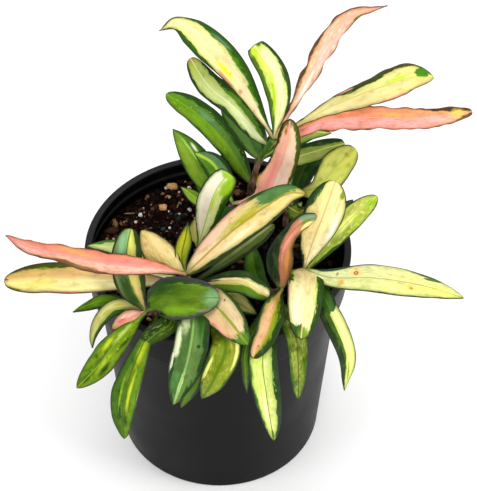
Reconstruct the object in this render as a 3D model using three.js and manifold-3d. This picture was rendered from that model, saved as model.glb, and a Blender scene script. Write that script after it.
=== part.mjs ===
// A variegated hoya wayetii in a round black nursery pot.
// Millimetres, +Z up. The origin is the centre of the pad under the pot's floor, on the ground.
// The viewer's side of the plant is -Y, and +X is to the viewer's right.
import * as THREE from "three";
import { mergeVertices } from "three/addons/utils/BufferGeometryUtils.js";
import Module from "manifold-3d";

const wasm = await Module();
wasm.setup();

// Driving dimensions
const POT = {
  height: 105,
  rimRadius: 54,
  wall: 1.2,
  baseRadius: 44,
  bandHeight: 16.5,
  bandStep: 2.8,
  bandBottomRadius: 52.6,
  lipWidth: 3,
  lipDepth: 2.4,
  lipRound: 0.6,
  lipSlope: 1,
  footWidth: 5.5,
  footHeight: 3,
  padRadius: 12,
  footRound: 1.5,
  floorThickness: 2,
  drainHoles: 6,
  drainHoleRadius: 4,
  drainCircleRadius: 25,
  drainHoleSides: 16,
  sides: 48,
};
const SOIL = {
  top: 96,
  crown: 1.2,
  bump: 0.7,
  gap: 0.3,
  rings: 6,
  sides: 24,
  grains: 30,
  grainSmall: 1.3,
  grainLarge: 2.6,
  grainRise: -0.2,
  stemClearance: 6,
  rimClearance: 5,
};
const STEM = {
  radius: 1.7,
  sides: 8,
  buried: 16,
  straightAboveSoil: 4,
  holeClearance: 0.5,
  holeSides: 12,
  holeAboveSoil: 9,
};
const BLADE = {
  across: 4,
  midThickness: 1.3,
  edgeThickness: 0.7,
  petioleHalfWidth: 1.1,
  petioleThickness: 2.1,
  petioleThinning: 0.4,
  petioleShare: 0.14,
  tipHalfWidth: 0.4,
  taper: 1.1,
  bluntTaper: 0.4,
  point: 0.85,
  bluntPoint: 0.42,
  longSteps: [0, 0.07, 0.18, 0.32, 0.46, 0.6, 0.74, 0.86, 0.95, 1],
  shortSteps: [0, 0.1, 0.26, 0.48, 0.7, 0.9, 1],
  longFrom: 40,
  rippleLength: 14,
  rippleShift: 2,
};

// Directions that the upper face of a leaf looks to
const VIEWER = [0, -0.7, 0.72];
const OUT = [0, -1, 0.35];
const UP = [0, -0.25, 1];

// One leaf: the stem node that it grows from (counted from the soil), the points that its
// midrib passes through after the node, its width, the way that its face looks, and its form.
// peak is the share of the length where it is widest, round is 0 for a pointed tip and 1 for
// a blunt one, heel does the same at the stem end, fold lifts both edges and wave ripples them.
const leaf = (node, points, width, face, form = {}) => ({ node, points, width, face, ...form });

// Every leafy stem: where it stands in the soil, its nodes, and its leaves, chosen by eye
// so that each leaf lies where it is seen from the viewer's side.
const STEMS = {
  stem_back: {
    ground: [13, 34],
    nodes: [[14, 33, 107], [17, 33, 120], [20, 34, 131], [23, 34, 140]],
    leaves: [
      leaf(3, [[6, 50, 155], [-11, 61, 167], [-24, 68, 161]], 13, VIEWER, { fold: -0.1 }),
      leaf(3, [[24, 43, 153], [18, 51, 169]], 12.5, VIEWER, { peak: 0.68, round: 0.8, fold: 0.1 }),
      leaf(3, [[33, 42, 150], [43, 52, 166], [54, 60, 174], [68, 65, 176]],
        9.5, [0.3, -0.7, 0.6], { wave: 0.7 }),
      leaf(3, [[48, 41, 146], [67, 45, 152], [88, 51, 151]],
        13, [0, -0.6, 0.8], { peak: 0.68, round: 0.6, wave: 0.3 }),
      leaf(2, [[3, 43, 146], [-11, 60, 153]], 12, VIEWER, { fold: 0.12 }),
      leaf(2, [[51, 37, 139], [71, 36, 142], [90, 36, 141], [103, 43, 139]],
        9.5, [0, -0.7, 0.7], { wave: 0.8 }),
      leaf(1, [[8, 41, 134], [-1, 51, 138]], 9, VIEWER, { fold: 0.1 }),
      leaf(1, [[38, 37, 130], [50, 42, 131]], 9, VIEWER),
      leaf(1, [[26, 44, 124], [38, 57, 120]], 9, UP, { round: 0.3 }),
      leaf(0, [[-4, 49, 128], [-22, 61, 133]], 13.5, VIEWER, { round: 0.3, fold: -0.12 }),
      leaf(0, [[4, 46, 109], [-6, 60, 107]], 8, UP, { round: 0.3 }),
    ],
  },
  stem_middle: {
    ground: [4, 22],
    nodes: [[4, 22, 102], [6, 22, 107]],
    leaves: [
      leaf(1, [[22, 22, 119], [26, 21, 138], [28, 21, 155]],
        13, [-0.1, -1, 0.4], { round: 0.6, fold: 0.08 }),
      leaf(1, [[-2, 34, 118], [-10, 38, 121]], 8, VIEWER, { fold: 0.15 }),
      leaf(0, [[-12, 41, 119], [-19, 48, 125]], 11, VIEWER, { fold: 0.08 }),
      leaf(0, [[-4, 29, 107], [-11, 36, 112]], 7, VIEWER, { fold: 0.2 }),
      leaf(0, [[-8, 29, 102], [-16, 35, 104]], 7, UP, { fold: 0.2 }),
    ],
  },
  stem_centre: {
    ground: [-9, -2],
    nodes: [[-8, 1, 103]],
    leaves: [
      leaf(0, [[-4, 5, 117], [0, 6, 130], [5, 8, 139]],
        11.5, [0.1, -1, 0.3], { peak: 0.62, round: 0.7, fold: 0.08 }),
      leaf(0, [[-11, 5, 108], [-11, 8, 114]], 5, VIEWER, { fold: 0.2 }),
      leaf(0, [[1, 9, 110], [9, 14, 113]], 9, VIEWER),
    ],
  },
  stem_front: {
    ground: [-9, -24],
    nodes: [[-9, -27, 107], [-10, -29, 113], [-12, -30, 120]],
    leaves: [
      leaf(2, [[-36, -35, 131], [-59, -34, 136], [-81, -20, 131]], 9.5, [0, -0.6, 1], { wave: 0.8 }),
      leaf(2, [[10, -19, 134], [23, -11, 140], [35, -6, 140]],
        15, [-0.1, -0.6, 0.8], { peak: 0.6, round: 0.2, fold: -0.08 }),
      leaf(2, [[-23, -24, 128], [-31, -18, 133]], 13, VIEWER, { round: 0.5 }),
      leaf(2, [[-13, -24, 128], [-11, -19, 137]], 6, VIEWER, { fold: 0.5 }),
      leaf(1, [[9, -35, 121], [20, -37, 116]], 10.5, [0, -0.4, 1], { peak: 0.6, round: 0.7 }),
      leaf(1, [[4, -47, 117], [12, -57, 110]], 13.5, [-0.3, -0.6, 0.8], { fold: 0.1 }),
      leaf(1, [[-26, -30, 113], [-54, -33, 121], [-82, -31, 117]],
        13.5, [0, -0.6, 1], { peak: 0.72, round: 0.9 }),
      leaf(1, [[14, -14, 119], [23, -5, 123]], 9, VIEWER),
      leaf(0, [[-31, -16, 112], [-41, -15, 118], [-52, -13, 120]], 9, UP, { round: 0.4 }),
      leaf(0, [[-10, -52, 110], [-14, -61, 96], [-18, -58, 76]],
        15, [0, -1, 0.5], { round: 0.4, fold: 0.08 }),
      leaf(0, [[-5, -54, 109], [-8, -59, 92], [-15, -57, 70]], 9, OUT, { round: 0.3 }),
      leaf(0, [[2, -54, 110], [1, -62, 98], [-6, -58, 78]], 12, [-0.1, -1, 0.5], { round: 0.3 }),
    ],
  },
  stem_left: {
    ground: [-20, -33],
    nodes: [[-23, -37, 105], [-27, -41, 111]],
    leaves: [
      leaf(1, [[-14, -44, 121], [1, -42, 120]], 17, VIEWER, { peak: 0.5, round: 1, heel: 1 }),
      leaf(1, [[-33, -35, 121], [-35, -27, 128], [-35, -19, 134]],
        12.5, [-0.1, -0.9, 0.6], { peak: 0.6, round: 0.7, fold: 0.15 }),
      leaf(1, [[-39, -56, 107], [-55, -60, 88]],
        11, [-0.3, -0.8, 0.7], { peak: 0.6, round: 0.5, fold: 0.08 }),
      leaf(0, [[-47, -34, 108], [-56, -36, 105]], 8, UP),
      leaf(0, [[-43, -42, 110], [-48, -50, 100]], 9, [-0.4, -0.5, 0.9], { fold: 0.5 }),
      leaf(1, [[-34, -45, 112], [-40, -48, 109]], 6, VIEWER, { round: 0.5 }),
      leaf(0, [[-22, -48, 109], [-31, -54, 104]], 9, [0.2, -0.7, 0.8]),
      leaf(0, [[-28, -54, 106], [-34, -62, 88], [-37, -63, 60]],
        11, [-0.2, -1, 0.3], { peak: 0.6, round: 0.6, fold: 0.1 }),
    ],
  },
  stem_right_front: {
    ground: [20, -22],
    nodes: [[22, -27, 106], [25, -30, 112]],
    leaves: [
      leaf(1, [[24, -24, 122], [27, -18, 130], [38, -11, 134]], 10.5, [-0.2, -1, 0.2], { fold: 0.5 }),
      leaf(1, [[20, -48, 113], [15, -60, 107]], 11, [0.3, -0.7, 0.8], { round: 0.6, fold: 0.15 }),
      leaf(0, [[20, -53, 110], [19, -65, 93], [22, -63, 60]], 11, OUT, { peak: 0.45, fold: 0.15 }),
      leaf(0, [[12, -53, 109], [10, -60, 98], [11, -59, 83]], 6.5, OUT),
      leaf(0, [[28, -48, 110], [30, -59, 97], [31, -59, 78]],
        9.5, [0.2, -1, 0.4], { round: 0.5, fold: 0.1 }),
      leaf(0, [[15, -22, 109], [12, -14, 113]], 8, UP),
    ],
  },
  stem_right: {
    ground: [33, -14],
    nodes: [[33, -17, 105], [34, -20, 112]],
    leaves: [
      leaf(1, [[41, -10, 129], [46, 1, 140]], 16, [-0.1, -0.9, 0.5], { peak: 0.6, round: 0.6 }),
      leaf(1, [[66, -34, 121], [95, -35, 113]], 12.5, [0, -0.4, 1], { fold: -0.08 }),
      leaf(1, [[34, -40, 116], [32, -54, 108]], 13.5, [0, -0.6, 0.8], { peak: 0.5, round: 0.9, heel: 0.7 }),
      leaf(0, [[51, -1, 119], [64, 11, 121]], 10, VIEWER, { peak: 0.6, round: 0.4 }),
      leaf(0, [[46, -40, 108], [49, -46, 103]], 8, VIEWER),
      leaf(0, [[46, 1, 110], [58, 15, 110]], 9, UP, { round: 0.3 }),
      leaf(0, [[44, -42, 109], [50, -52, 96], [50, -53, 77]],
        9.5, [0.3, -1, 0.4], { peak: 0.6, fold: 0.4 }),
    ],
  },
  stem_right_back: {
    ground: [28, 20],
    nodes: [[29, 22, 105], [30, 25, 110]],
    leaves: [
      leaf(1, [[41, 36, 123], [52, 38, 126]], 9.5, VIEWER),
      leaf(1, [[45, 29, 121], [55, 33, 127]], 13, VIEWER, { peak: 0.6, round: 0.7 }),
      leaf(0, [[33, 12, 112], [35, 8, 118]], 9, VIEWER),
      leaf(0, [[41, 36, 111], [52, 47, 109]], 9, UP, { round: 0.3 }),
    ],
  },
};

const FINISH = {
  pot: { color: "#242425", roughness: 0.55 },
  soil: { color: "#3a241a", roughness: 0.95 },
  leaves: { color: "#a9b763", roughness: 0.45 },
};

// The same draws every time
let seed = 20417;
function draw(low, high) {
  seed = (seed * 1103515245 + 12345) % 2147483648;
  return low + (high - low) * (seed / 2147483648);
}

function closed(geometry) {
  geometry.deleteAttribute("normal");
  geometry.deleteAttribute("uv");
  return mergeVertices(geometry, 1e-4);
}

function solidOf(geometry) {
  const whole = closed(geometry);
  return new wasm.Manifold(new wasm.Mesh({
    numProp: 3,
    vertProperties: new Float32Array(whole.getAttribute("position").array),
    triVerts: new Uint32Array(whole.index.array),
  }));
}

function geometryOf(solid) {
  const mesh = solid.getMesh();
  const geometry = new THREE.BufferGeometry();
  geometry.setAttribute("position", new THREE.BufferAttribute(mesh.vertProperties, 3));
  geometry.setIndex(new THREE.BufferAttribute(mesh.triVerts, 1));
  geometry.computeVertexNormals();
  return geometry;
}

function named(name, solid, finish) {
  const mesh = new THREE.Mesh(geometryOf(solid), new THREE.MeshStandardMaterial({ ...finish, metalness: 0 }));
  mesh.name = name;
  return mesh;
}

function upright(radius, low, high, x, y, sides) {
  const cylinder = new THREE.CylinderGeometry(radius, radius, high - low, sides);
  cylinder.rotateX(Math.PI / 2);
  cylinder.translate(x, y, (low + high) / 2);
  return cylinder;
}

// A lathe turns about Y, so its axis is stood up along Z
function turned(profile, sides) {
  const lathe = new THREE.LatheGeometry(profile.map(([r, z]) => new THREE.Vector2(r, z)), sides);
  lathe.rotateX(Math.PI / 2);
  return lathe;
}

// The pot: tapered wall, stepped band under the rim, thick lip, and a drained floor that is
// raised between its foot ring and its middle pad
const bandBottom = POT.height - POT.bandHeight;
const bodyTopRadius = POT.bandBottomRadius - POT.bandStep;
const floorTop = POT.footHeight + POT.floorThickness;
const innerBaseRadius = POT.baseRadius - POT.wall;
const innerBodyTopRadius = bodyTopRadius - POT.wall;
const innerBandRadius = POT.rimRadius - 1.6 * POT.wall;
const lipInnerRadius = POT.rimRadius - POT.lipWidth;

function potSolid() {
  const footInner = POT.baseRadius - POT.footRound - POT.footWidth;
  const shell = solidOf(turned([
    [0, 0],
    [POT.padRadius, 0],
    [POT.padRadius + POT.footHeight, POT.footHeight],
    [footInner - POT.footHeight, POT.footHeight],
    [footInner, 0],
    [POT.baseRadius - POT.footRound, 0],
    [POT.baseRadius, POT.footRound],
    [bodyTopRadius, bandBottom],
    [POT.bandBottomRadius, bandBottom],
    [POT.rimRadius, POT.height - POT.lipRound],
    [POT.rimRadius - POT.lipRound, POT.height],
    [lipInnerRadius + POT.lipRound, POT.height],
    [lipInnerRadius, POT.height - POT.lipRound],
    [lipInnerRadius, POT.height - POT.lipDepth],
    [innerBandRadius, POT.height - POT.lipDepth - POT.lipSlope],
    [POT.bandBottomRadius - POT.wall, bandBottom + POT.wall],
    [innerBodyTopRadius, bandBottom + POT.wall],
    [innerBodyTopRadius, bandBottom],
    [innerBaseRadius, floorTop],
    [0, floorTop],
  ], POT.sides));
  let pot = shell;
  for (let i = 0; i < POT.drainHoles; i += 1) {
    const angle = (2 * Math.PI * i) / POT.drainHoles;
    const x = POT.drainCircleRadius * Math.cos(angle);
    const y = POT.drainCircleRadius * Math.sin(angle);
    const drain = upright(POT.drainHoleRadius, -POT.wall, floorTop + POT.wall, x, y, POT.drainHoleSides);
    pot = pot.subtract(solidOf(drain));
  }
  return pot;
}

// Height of the lumpy soil surface over a place in the pot
function soilHeight(x, y) {
  const lumps = Math.sin(0.31 * x + 1) * Math.cos(0.27 * y) + 0.6 * Math.sin(0.7 * y + 0.5 * x);
  return SOIL.top + SOIL.bump * lumps;
}

// The soil: fills the pot, is lumpy on top, carries coarse grains, and has a plain hole for each stem
function soilSolid() {
  const ledge = bandBottom + POT.wall + SOIL.gap;
  const rimRadius = POT.bandBottomRadius - POT.wall - SOIL.gap;
  const profile = [
    [0, floorTop + SOIL.gap],
    [innerBaseRadius - SOIL.gap, floorTop + SOIL.gap],
    [innerBodyTopRadius - SOIL.gap, bandBottom],
    [innerBodyTopRadius - SOIL.gap, ledge],
    [rimRadius, ledge],
    [rimRadius, SOIL.top - SOIL.crown],
  ];
  for (let ring = 1; ring <= SOIL.rings; ring += 1) {
    profile.push([rimRadius * (1 - ring / SOIL.rings), SOIL.top]);
  }
  const bed = turned(profile, SOIL.sides);
  const places = bed.getAttribute("position");
  for (let i = 0; i < places.count; i += 1) {
    if (places.getZ(i) === Math.fround(SOIL.top)) {
      places.setZ(i, soilHeight(places.getX(i), places.getY(i)));
    }
  }
  let soil = solidOf(bed);
  for (let i = 0; i < SOIL.grains; i += 1) {
    const far = (rimRadius - SOIL.rimClearance) * Math.sqrt(draw(0, 1));
    const angle = draw(0, 2 * Math.PI);
    const x = far * Math.cos(angle);
    const y = far * Math.sin(angle);
    const size = draw(SOIL.grainSmall, SOIL.grainLarge);
    const grain = new THREE.DodecahedronGeometry(size, 0);
    grain.scale(1, draw(0.6, 1), draw(0.65, 0.9));
    grain.rotateZ(draw(0, Math.PI));
    grain.translate(x, y, soilHeight(x, y) + size * SOIL.grainRise);
    const nearStem = Object.values(STEMS).some(
      ({ ground }) => Math.hypot(x - ground[0], y - ground[1]) < SOIL.stemClearance);
    if (!nearStem) {
      soil = soil.add(solidOf(grain));
    }
  }
  for (const { ground: [x, y] } of Object.values(STEMS)) {
    const low = SOIL.top - STEM.buried - STEM.holeClearance;
    const radius = STEM.radius + STEM.holeClearance;
    const high = SOIL.top + STEM.holeAboveSoil;
    soil = soil.subtract(solidOf(upright(radius, low, high, x, y, STEM.holeSides)));
  }
  return soil;
}

// Half the width of a blade at a share of its length from the stem
function halfWidth(share, { width, peak = 0.52, round = 0.15, heel = 0 }) {
  const quarter = Math.PI / 2;
  const heelPower = THREE.MathUtils.lerp(BLADE.taper, BLADE.bluntTaper, heel);
  const tipPower = THREE.MathUtils.lerp(BLADE.point, BLADE.bluntPoint, round);
  const swell = share < peak
    ? Math.sin((quarter * share) / peak) ** heelPower
    : Math.cos((quarter * (share - peak)) / (1 - peak)) ** tipPower;
  const least = share < peak ? BLADE.petioleHalfWidth : BLADE.tipHalfWidth;
  return Math.max(least, (width / 2) * swell);
}

// A blade is a slab of rings across the midrib, split into triangles alike on both faces
function bladeGeometry(spec, root) {
  const midrib = new THREE.CatmullRomCurve3(
    [root, ...spec.points].map((point) => new THREE.Vector3(...point)), false, "centripetal");
  const length = midrib.getLength();
  const steps = length > BLADE.longFrom ? BLADE.longSteps : BLADE.shortSteps;
  const face = new THREE.Vector3(...spec.face).normalize();
  const { fold = 0, wave = 0 } = spec;
  const ripples = Math.round(length / BLADE.rippleLength);
  const places = [];
  for (const share of steps) {
    const centre = midrib.getPointAt(share);
    const along = midrib.getTangentAt(share);
    const side = new THREE.Vector3().crossVectors(along, face).normalize();
    const up = new THREE.Vector3().crossVectors(side, along);
    const half = halfWidth(share, spec);
    const petiole = THREE.MathUtils.clamp(1 - share / BLADE.petioleShare, 0, 1);
    for (const bottom of [false, true]) {
      for (let j = 0; j <= BLADE.across; j += 1) {
        const across = -1 + (2 * j) / BLADE.across;
        const thickness = THREE.MathUtils.lerp(
          THREE.MathUtils.lerp(BLADE.midThickness, BLADE.edgeThickness, across ** 2),
          BLADE.petioleThickness * (1 - BLADE.petioleThinning * across ** 2), petiole);
        const shift = across > 0 ? BLADE.rippleShift : 0;
        const ripple = wave * Math.sin(2 * Math.PI * ripples * share + shift);
        const lift = (fold * half + ripple * (1 - petiole)) * across ** 2;
        const offset = lift + (bottom ? -thickness / 2 : thickness / 2);
        const place = centre.clone().addScaledVector(side, across * half).addScaledVector(up, offset);
        places.push(place.x, place.y, place.z);
      }
    }
  }
  const row = BLADE.across + 1;
  const ring = 2 * row;
  const faces = [];
  const quad = (a, b, c, d) => faces.push(a, b, c, a, c, d);
  for (let i = 0; i < steps.length - 1; i += 1) {
    const near = i * ring;
    const far = near + ring;
    for (let j = 0; j < BLADE.across; j += 1) {
      quad(near + j, near + j + 1, far + j + 1, far + j);
      faces.push(near + row + j, far + row + j + 1, near + row + j + 1);
      faces.push(near + row + j, far + row + j, far + row + j + 1);
    }
    quad(near + row, near, far, far + row);
    quad(near + BLADE.across, near + ring - 1, far + ring - 1, far + BLADE.across);
  }
  for (let j = 0; j < BLADE.across; j += 1) {
    const end = (steps.length - 1) * ring;
    quad(j, row + j, row + j + 1, j + 1);
    quad(end + j, end + j + 1, end + row + j + 1, end + row + j);
  }
  const blade = new THREE.BufferGeometry();
  blade.setAttribute("position", new THREE.Float32BufferAttribute(places, 3));
  blade.setIndex(faces);
  return blade;
}

function stemGeometry({ ground: [x, y], nodes }) {
  const points = [
    [x, y, SOIL.top - STEM.buried],
    [x, y, SOIL.top - STEM.buried / 2],
    [x, y, SOIL.top],
    [x, y, SOIL.top + STEM.straightAboveSoil],
    ...nodes,
  ].map((point) => new THREE.Vector3(...point));
  const line = new THREE.CatmullRomCurve3(points, false, "centripetal");
  const round = new THREE.Shape();
  round.absarc(0, 0, STEM.radius, 0, 2 * Math.PI);
  return new THREE.ExtrudeGeometry(round, {
    steps: points.length + 1,
    curveSegments: STEM.sides / 2,
    bevelEnabled: false,
    extrudePath: line,
  });
}

function leafyStem(plan) {
  let whole = solidOf(stemGeometry(plan));
  for (const spec of plan.leaves) {
    whole = whole.add(solidOf(bladeGeometry(spec, plan.nodes[spec.node])));
  }
  return whole;
}

const plant = new THREE.Group();
plant.add(named("pot", potSolid(), FINISH.pot));
plant.add(named("soil", soilSolid(), FINISH.soil));
for (const [name, plan] of Object.entries(STEMS)) {
  plant.add(named(name, leafyStem(plan), FINISH.leaves));
}

export default plant;
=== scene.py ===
"""A variegated hoya wayetii in a round black nursery pot, dressed over its solid frame.

Metres, +Z up. The viewer's side of the plant is -Y, and +X is to the viewer's right. The
classes and tables give sizes and places in millimetres, as the frame's own source does, and MM
turns them to metres.
"""

import logging
import math
import random
from collections.abc import Callable
from dataclasses import dataclass, field
from enum import Enum

import bmesh
import bpy
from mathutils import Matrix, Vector, noise


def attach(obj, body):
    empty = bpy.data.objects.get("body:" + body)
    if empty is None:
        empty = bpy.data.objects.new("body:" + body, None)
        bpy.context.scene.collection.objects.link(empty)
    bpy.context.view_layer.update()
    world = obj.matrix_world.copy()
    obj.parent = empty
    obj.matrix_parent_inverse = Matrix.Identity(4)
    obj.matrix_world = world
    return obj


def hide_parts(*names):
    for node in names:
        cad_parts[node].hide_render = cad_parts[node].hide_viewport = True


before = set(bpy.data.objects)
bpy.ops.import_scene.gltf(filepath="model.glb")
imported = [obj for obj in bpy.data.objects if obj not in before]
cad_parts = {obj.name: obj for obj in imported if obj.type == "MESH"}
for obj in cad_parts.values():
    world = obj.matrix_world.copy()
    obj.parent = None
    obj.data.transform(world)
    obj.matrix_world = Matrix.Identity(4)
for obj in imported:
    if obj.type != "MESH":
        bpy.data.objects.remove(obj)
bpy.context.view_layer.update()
LOG = logging.getLogger("hoya")
MM = 0.001
BODY = "root"

Place = tuple[float, float, float]
Pair = tuple[float, float]
Tones = tuple[str, str]
Stations = tuple[float, ...]
Tree = bpy.types.NodeTree
Socket = bpy.types.NodeSocket
Value = float | str | Place | Socket
HalfWidth = Callable[[float, bool], float]

# Settings that many nodes share: for a mix of two colours, and for a smooth step
MIX = {"data_type": "RGBA"}
STEP = {"interpolation_type": "SMOOTHSTEP"}

# Directions that the upper face of a leaf looks to
VIEWER = (0, -0.7, 0.72)
OUT = (0, -1, 0.35)
UP = (0, -0.25, 1)


class Slot(Enum):
    """The record's material slots."""

    POT = "pot"
    SOIL = "soil"
    LEAVES = "leaves"


class Tone(str, Enum):
    """Colours that the blades share, as sRGB hex."""

    RIB = "#cdd76a"
    FRINGE = "#c3e046"
    GREEN = "#4c860f"
    DARK_GREEN = "#2f5c10"
    EDGE = "#22301a"
    SHADOW = "#c4c08c"
    # The pale flecks: partly the leaf's silver flecks, partly painted glints
    FLECK = "#b4cc84"
    DARK_CLOUD = "#7c8450"
    PALE_CLOUD = "#4c4c2c"
    STALK = "#8a8d4a"
    UNDERSIDE = "#b4be7c"


def linear(hexed: str) -> tuple[float, float, float, float]:
    """Turns an sRGB hex colour into linear light.

    Args:
        hexed: the colour, such as "#4c860f".

    Returns:
        Red, green, blue and an alpha of 1.
    """
    shares = [int(hexed[i:i + 2], 16) / 255 for i in (1, 3, 5)]
    light = [c / 12.92 if c <= 0.04045 else ((c + 0.055) / 1.055) ** 2.4 for c in shares]
    return (light[0], light[1], light[2], 1.0)


def lerp(low: float, high: float, share: float) -> float:
    """Returns the value at a share of the way from low to high."""
    return low + (high - low) * share


def clamped(share: float) -> float:
    """Holds a share between 0 and 1."""
    return min(max(share, 0.0), 1.0)


def stations(values: Stations, share: float) -> float:
    """Reads evenly spaced values at a share, with a smooth curve from each to the next.

    Args:
        values: the values from share 0 to share 1.
        share: where to read them.

    Returns:
        The value there.
    """
    at = clamped(share) * (len(values) - 1)
    low = min(int(at), len(values) - 2)
    part = at - low
    return lerp(values[low], values[low + 1], part * part * (3 - 2 * part))


def feed(node: bpy.types.Node, inputs: dict[str | int, Value]) -> None:
    """Sets or links a node's inputs.

    Args:
        node: the node.
        inputs: numbers, vectors, sRGB hex colours or other nodes' outputs, by input.
    """
    for key, value in inputs.items():
        if isinstance(value, Socket):
            node.id_data.links.new(value, node.inputs[key])
        else:
            node.inputs[key].default_value = linear(value) if isinstance(value, str) else value


def add(tree: Tree, kind: str, *values: Value, out: str = "", **settings: object) -> Socket:
    """Adds a node with its settings and links.

    Args:
        tree: the tree that the node goes into.
        kind: the node's type name, without the ShaderNode that all of them start with.
        values: what its inputs in use get, in their order.
        out: the output that is wanted, where that isn't the first one in use.
        settings: the node's own properties, and inputs by name, which start with a capital.

    Returns:
        The output.
    """
    node = tree.nodes.new("ShaderNode" + kind)
    named = {key: value for key, value in settings.items() if key[0].isupper()}
    for key, value in settings.items():
        if key not in named:
            setattr(node, key, value)
    used = [i for i, socket in enumerate(node.inputs) if socket.enabled]
    feed(node, dict(zip(used, values)) | named)
    return node.outputs[out] if out else next(socket for socket in node.outputs if socket.enabled)


def layered(tree: Tree, under: Value, over: Value, *step: Value, blend_type: str = "MIX") -> Socket:
    """Lays a colour over another, as far as a smooth step of a value says.

    Args:
        tree: the tree that the nodes go into.
        under: the lower colour.
        over: the upper colour.
        step: the value, where its step starts and ends, and how far the upper colour covers
            the lower one there, which is 0 and 1 if left out.
        blend_type: how the two are mixed.

    Returns:
        The new colour.
    """
    cover = add(tree, "MapRange", *step, **STEP)
    return add(tree, "Mix", cover, under, over, blend_type=blend_type, **MIX)


def from_oval(tree: Tree, place: Socket, middle: Pair, halves: Pair) -> Socket:
    """Measures how far a place lies from the middle of an upright oval column.

    Args:
        tree: the tree that the nodes go into.
        place: the place.
        middle: the oval's middle.
        halves: half its width and half its depth.

    Returns:
        The distance, which is 1 on the oval's outline.
    """
    away = add(tree, "VectorMath", place, (*middle, 0), operation="SUBTRACT")
    scaled = add(tree, "VectorMath", away, (1 / halves[0], 1 / halves[1], 0), operation="MULTIPLY")
    return add(tree, "VectorMath", scaled, operation="LENGTH")


def surface(name: str) -> tuple[bpy.types.Material, Tree, bpy.types.Node]:
    """Starts a material.

    Args:
        name: the material's name.

    Returns:
        The material, its node tree and its Principled shader.
    """
    made = bpy.data.materials.new(name)
    made.use_nodes = True
    return made, made.node_tree, made.node_tree.nodes["Principled BSDF"]


def placed(name: str, bm: bmesh.types.BMesh, materials: list[bpy.types.Material]) -> bpy.types.Object:
    """Puts a mesh into the scene as an object at the origin.

    Args:
        name: the object's name.
        bm: its mesh in metres, which is freed.
        materials: its materials.

    Returns:
        The object.
    """
    mesh = bpy.data.meshes.new(name)
    bm.to_mesh(mesh)
    bm.free()
    for material in materials:
        mesh.materials.append(material)
    made = bpy.data.objects.new(name, mesh)
    bpy.context.scene.collection.objects.link(made)
    return made


def finished(name: str, bm: bmesh.types.BMesh, material: bpy.types.Material, slot: Slot,
             *nodes: str) -> bpy.types.Object:
    """Makes a smooth-shaded piece of a closed mesh, its faces outwards.

    It hides the frame's nodes that the piece stands for.

    Args:
        name: the piece's name.
        bm: its mesh in metres, which is freed.
        material: what it is made of.
        slot: not used.
        nodes: the frame's nodes that it stands for.

    Returns:
        The piece.
    """
    bmesh.ops.recalc_face_normals(bm, faces=bm.faces[:])
    for face in bm.faces:
        face.smooth = True
    piece = placed(name, bm, [material])
    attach(piece, BODY)
    if nodes:
        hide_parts(*nodes)
    LOG.info("%s: %d faces", name, len(piece.data.polygons))
    return piece


def turned(section: list[Vector], steps: int) -> bmesh.types.BMesh:
    """Turns a section about the Z axis into a closed solid.

    Args:
        section: its points in the XZ plane in millimetres, from the axis to the axis.
        steps: how many steps a full turn has.

    Returns:
        The solid's mesh in metres.
    """
    bm = bmesh.new()
    verts = [bm.verts.new(place * MM) for place in section]
    edges = [bm.edges.new(pair) for pair in zip(verts, verts[1:])]
    bmesh.ops.spin(bm, geom=verts + edges, angle=2 * math.pi, steps=steps, use_merge=True,
                   axis=(0, 0, 1), cent=(0, 0, 0))
    bmesh.ops.remove_doubles(bm, verts=bm.verts[:], dist=1e-6)
    return bm


def applied(piece: bpy.types.Object) -> None:
    """Replaces a piece's mesh by what its modifiers make of it, and drops them."""
    view = bpy.context.evaluated_depsgraph_get()
    made = bpy.data.meshes.new_from_object(piece.evaluated_get(view))
    piece.modifiers.clear()
    piece.data = made


@dataclass
class Line:
    """A smooth centripetal curve through points, read by share of its length. Millimetres."""

    points: list[Vector]
    fine: int = 24

    def __post_init__(self) -> None:
        """Samples the curve's places, directions and lengths, fine steps from point to point."""
        first, last = self.points[0], self.points[-1]
        run = [2 * first - self.points[1], *self.points, 2 * last - self.points[-2]]
        self.places: list[Vector] = []
        self.ways: list[Vector] = []
        for a, b, c, d in zip(run, run[1:], run[2:], run[3:]):
            gaps = [math.sqrt((q - p).length) for p, q in ((a, b), (b, c), (c, d))]
            out = ((b - a) / gaps[0] - (c - a) / (gaps[0] + gaps[1]) + (c - b) / gaps[1]) * gaps[1]
            into = ((c - b) / gaps[1] - (d - b) / (gaps[1] + gaps[2]) + (d - c) / gaps[2]) * gaps[1]
            square = -3 * b + 3 * c - 2 * out - into
            cube = 2 * b - 2 * c + out + into
            for i in range(self.fine + (c is last)):
                t = i / self.fine
                self.places.append(b + out * t + square * t * t + cube * t ** 3)
                self.ways.append((out + 2 * square * t + 3 * cube * t * t).normalized())
        self.lengths = [0.0]
        for p, q in zip(self.places, self.places[1:]):
            self.lengths.append(self.lengths[-1] + (q - p).length)
        self.length = self.lengths[-1]

    def at(self, share: float) -> tuple[Vector, Vector]:
        """Reads the curve.

        Args:
            share: the share of its length, from 0 to 1.

        Returns:
            The place and the direction there.
        """
        goal = share * self.length
        low = 0
        while low < len(self.lengths) - 2 and self.lengths[low + 1] < goal:
            low += 1
        step = max(self.lengths[low + 1] - self.lengths[low], 1e-9)
        part = clamped((goal - self.lengths[low]) / step)
        way = self.ways[low].lerp(self.ways[low + 1], part).normalized()
        return self.places[low].lerp(self.places[low + 1], part), way


@dataclass(frozen=True)
class Patch:
    """A coloured patch on a blade.

    share runs along the blade from the stem and across from -1 at its left edge to 1 at its
    right one, seen from the stem. long and wide are half its size in millimetres. blur is 0
    for a crisp border and 1 for one that fades from the middle. over is False for a patch that
    lies under the green margins.
    """

    share: float
    across: float
    long: float
    wide: float
    tone: str
    blur: float = 0.3
    over: bool = True


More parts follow.
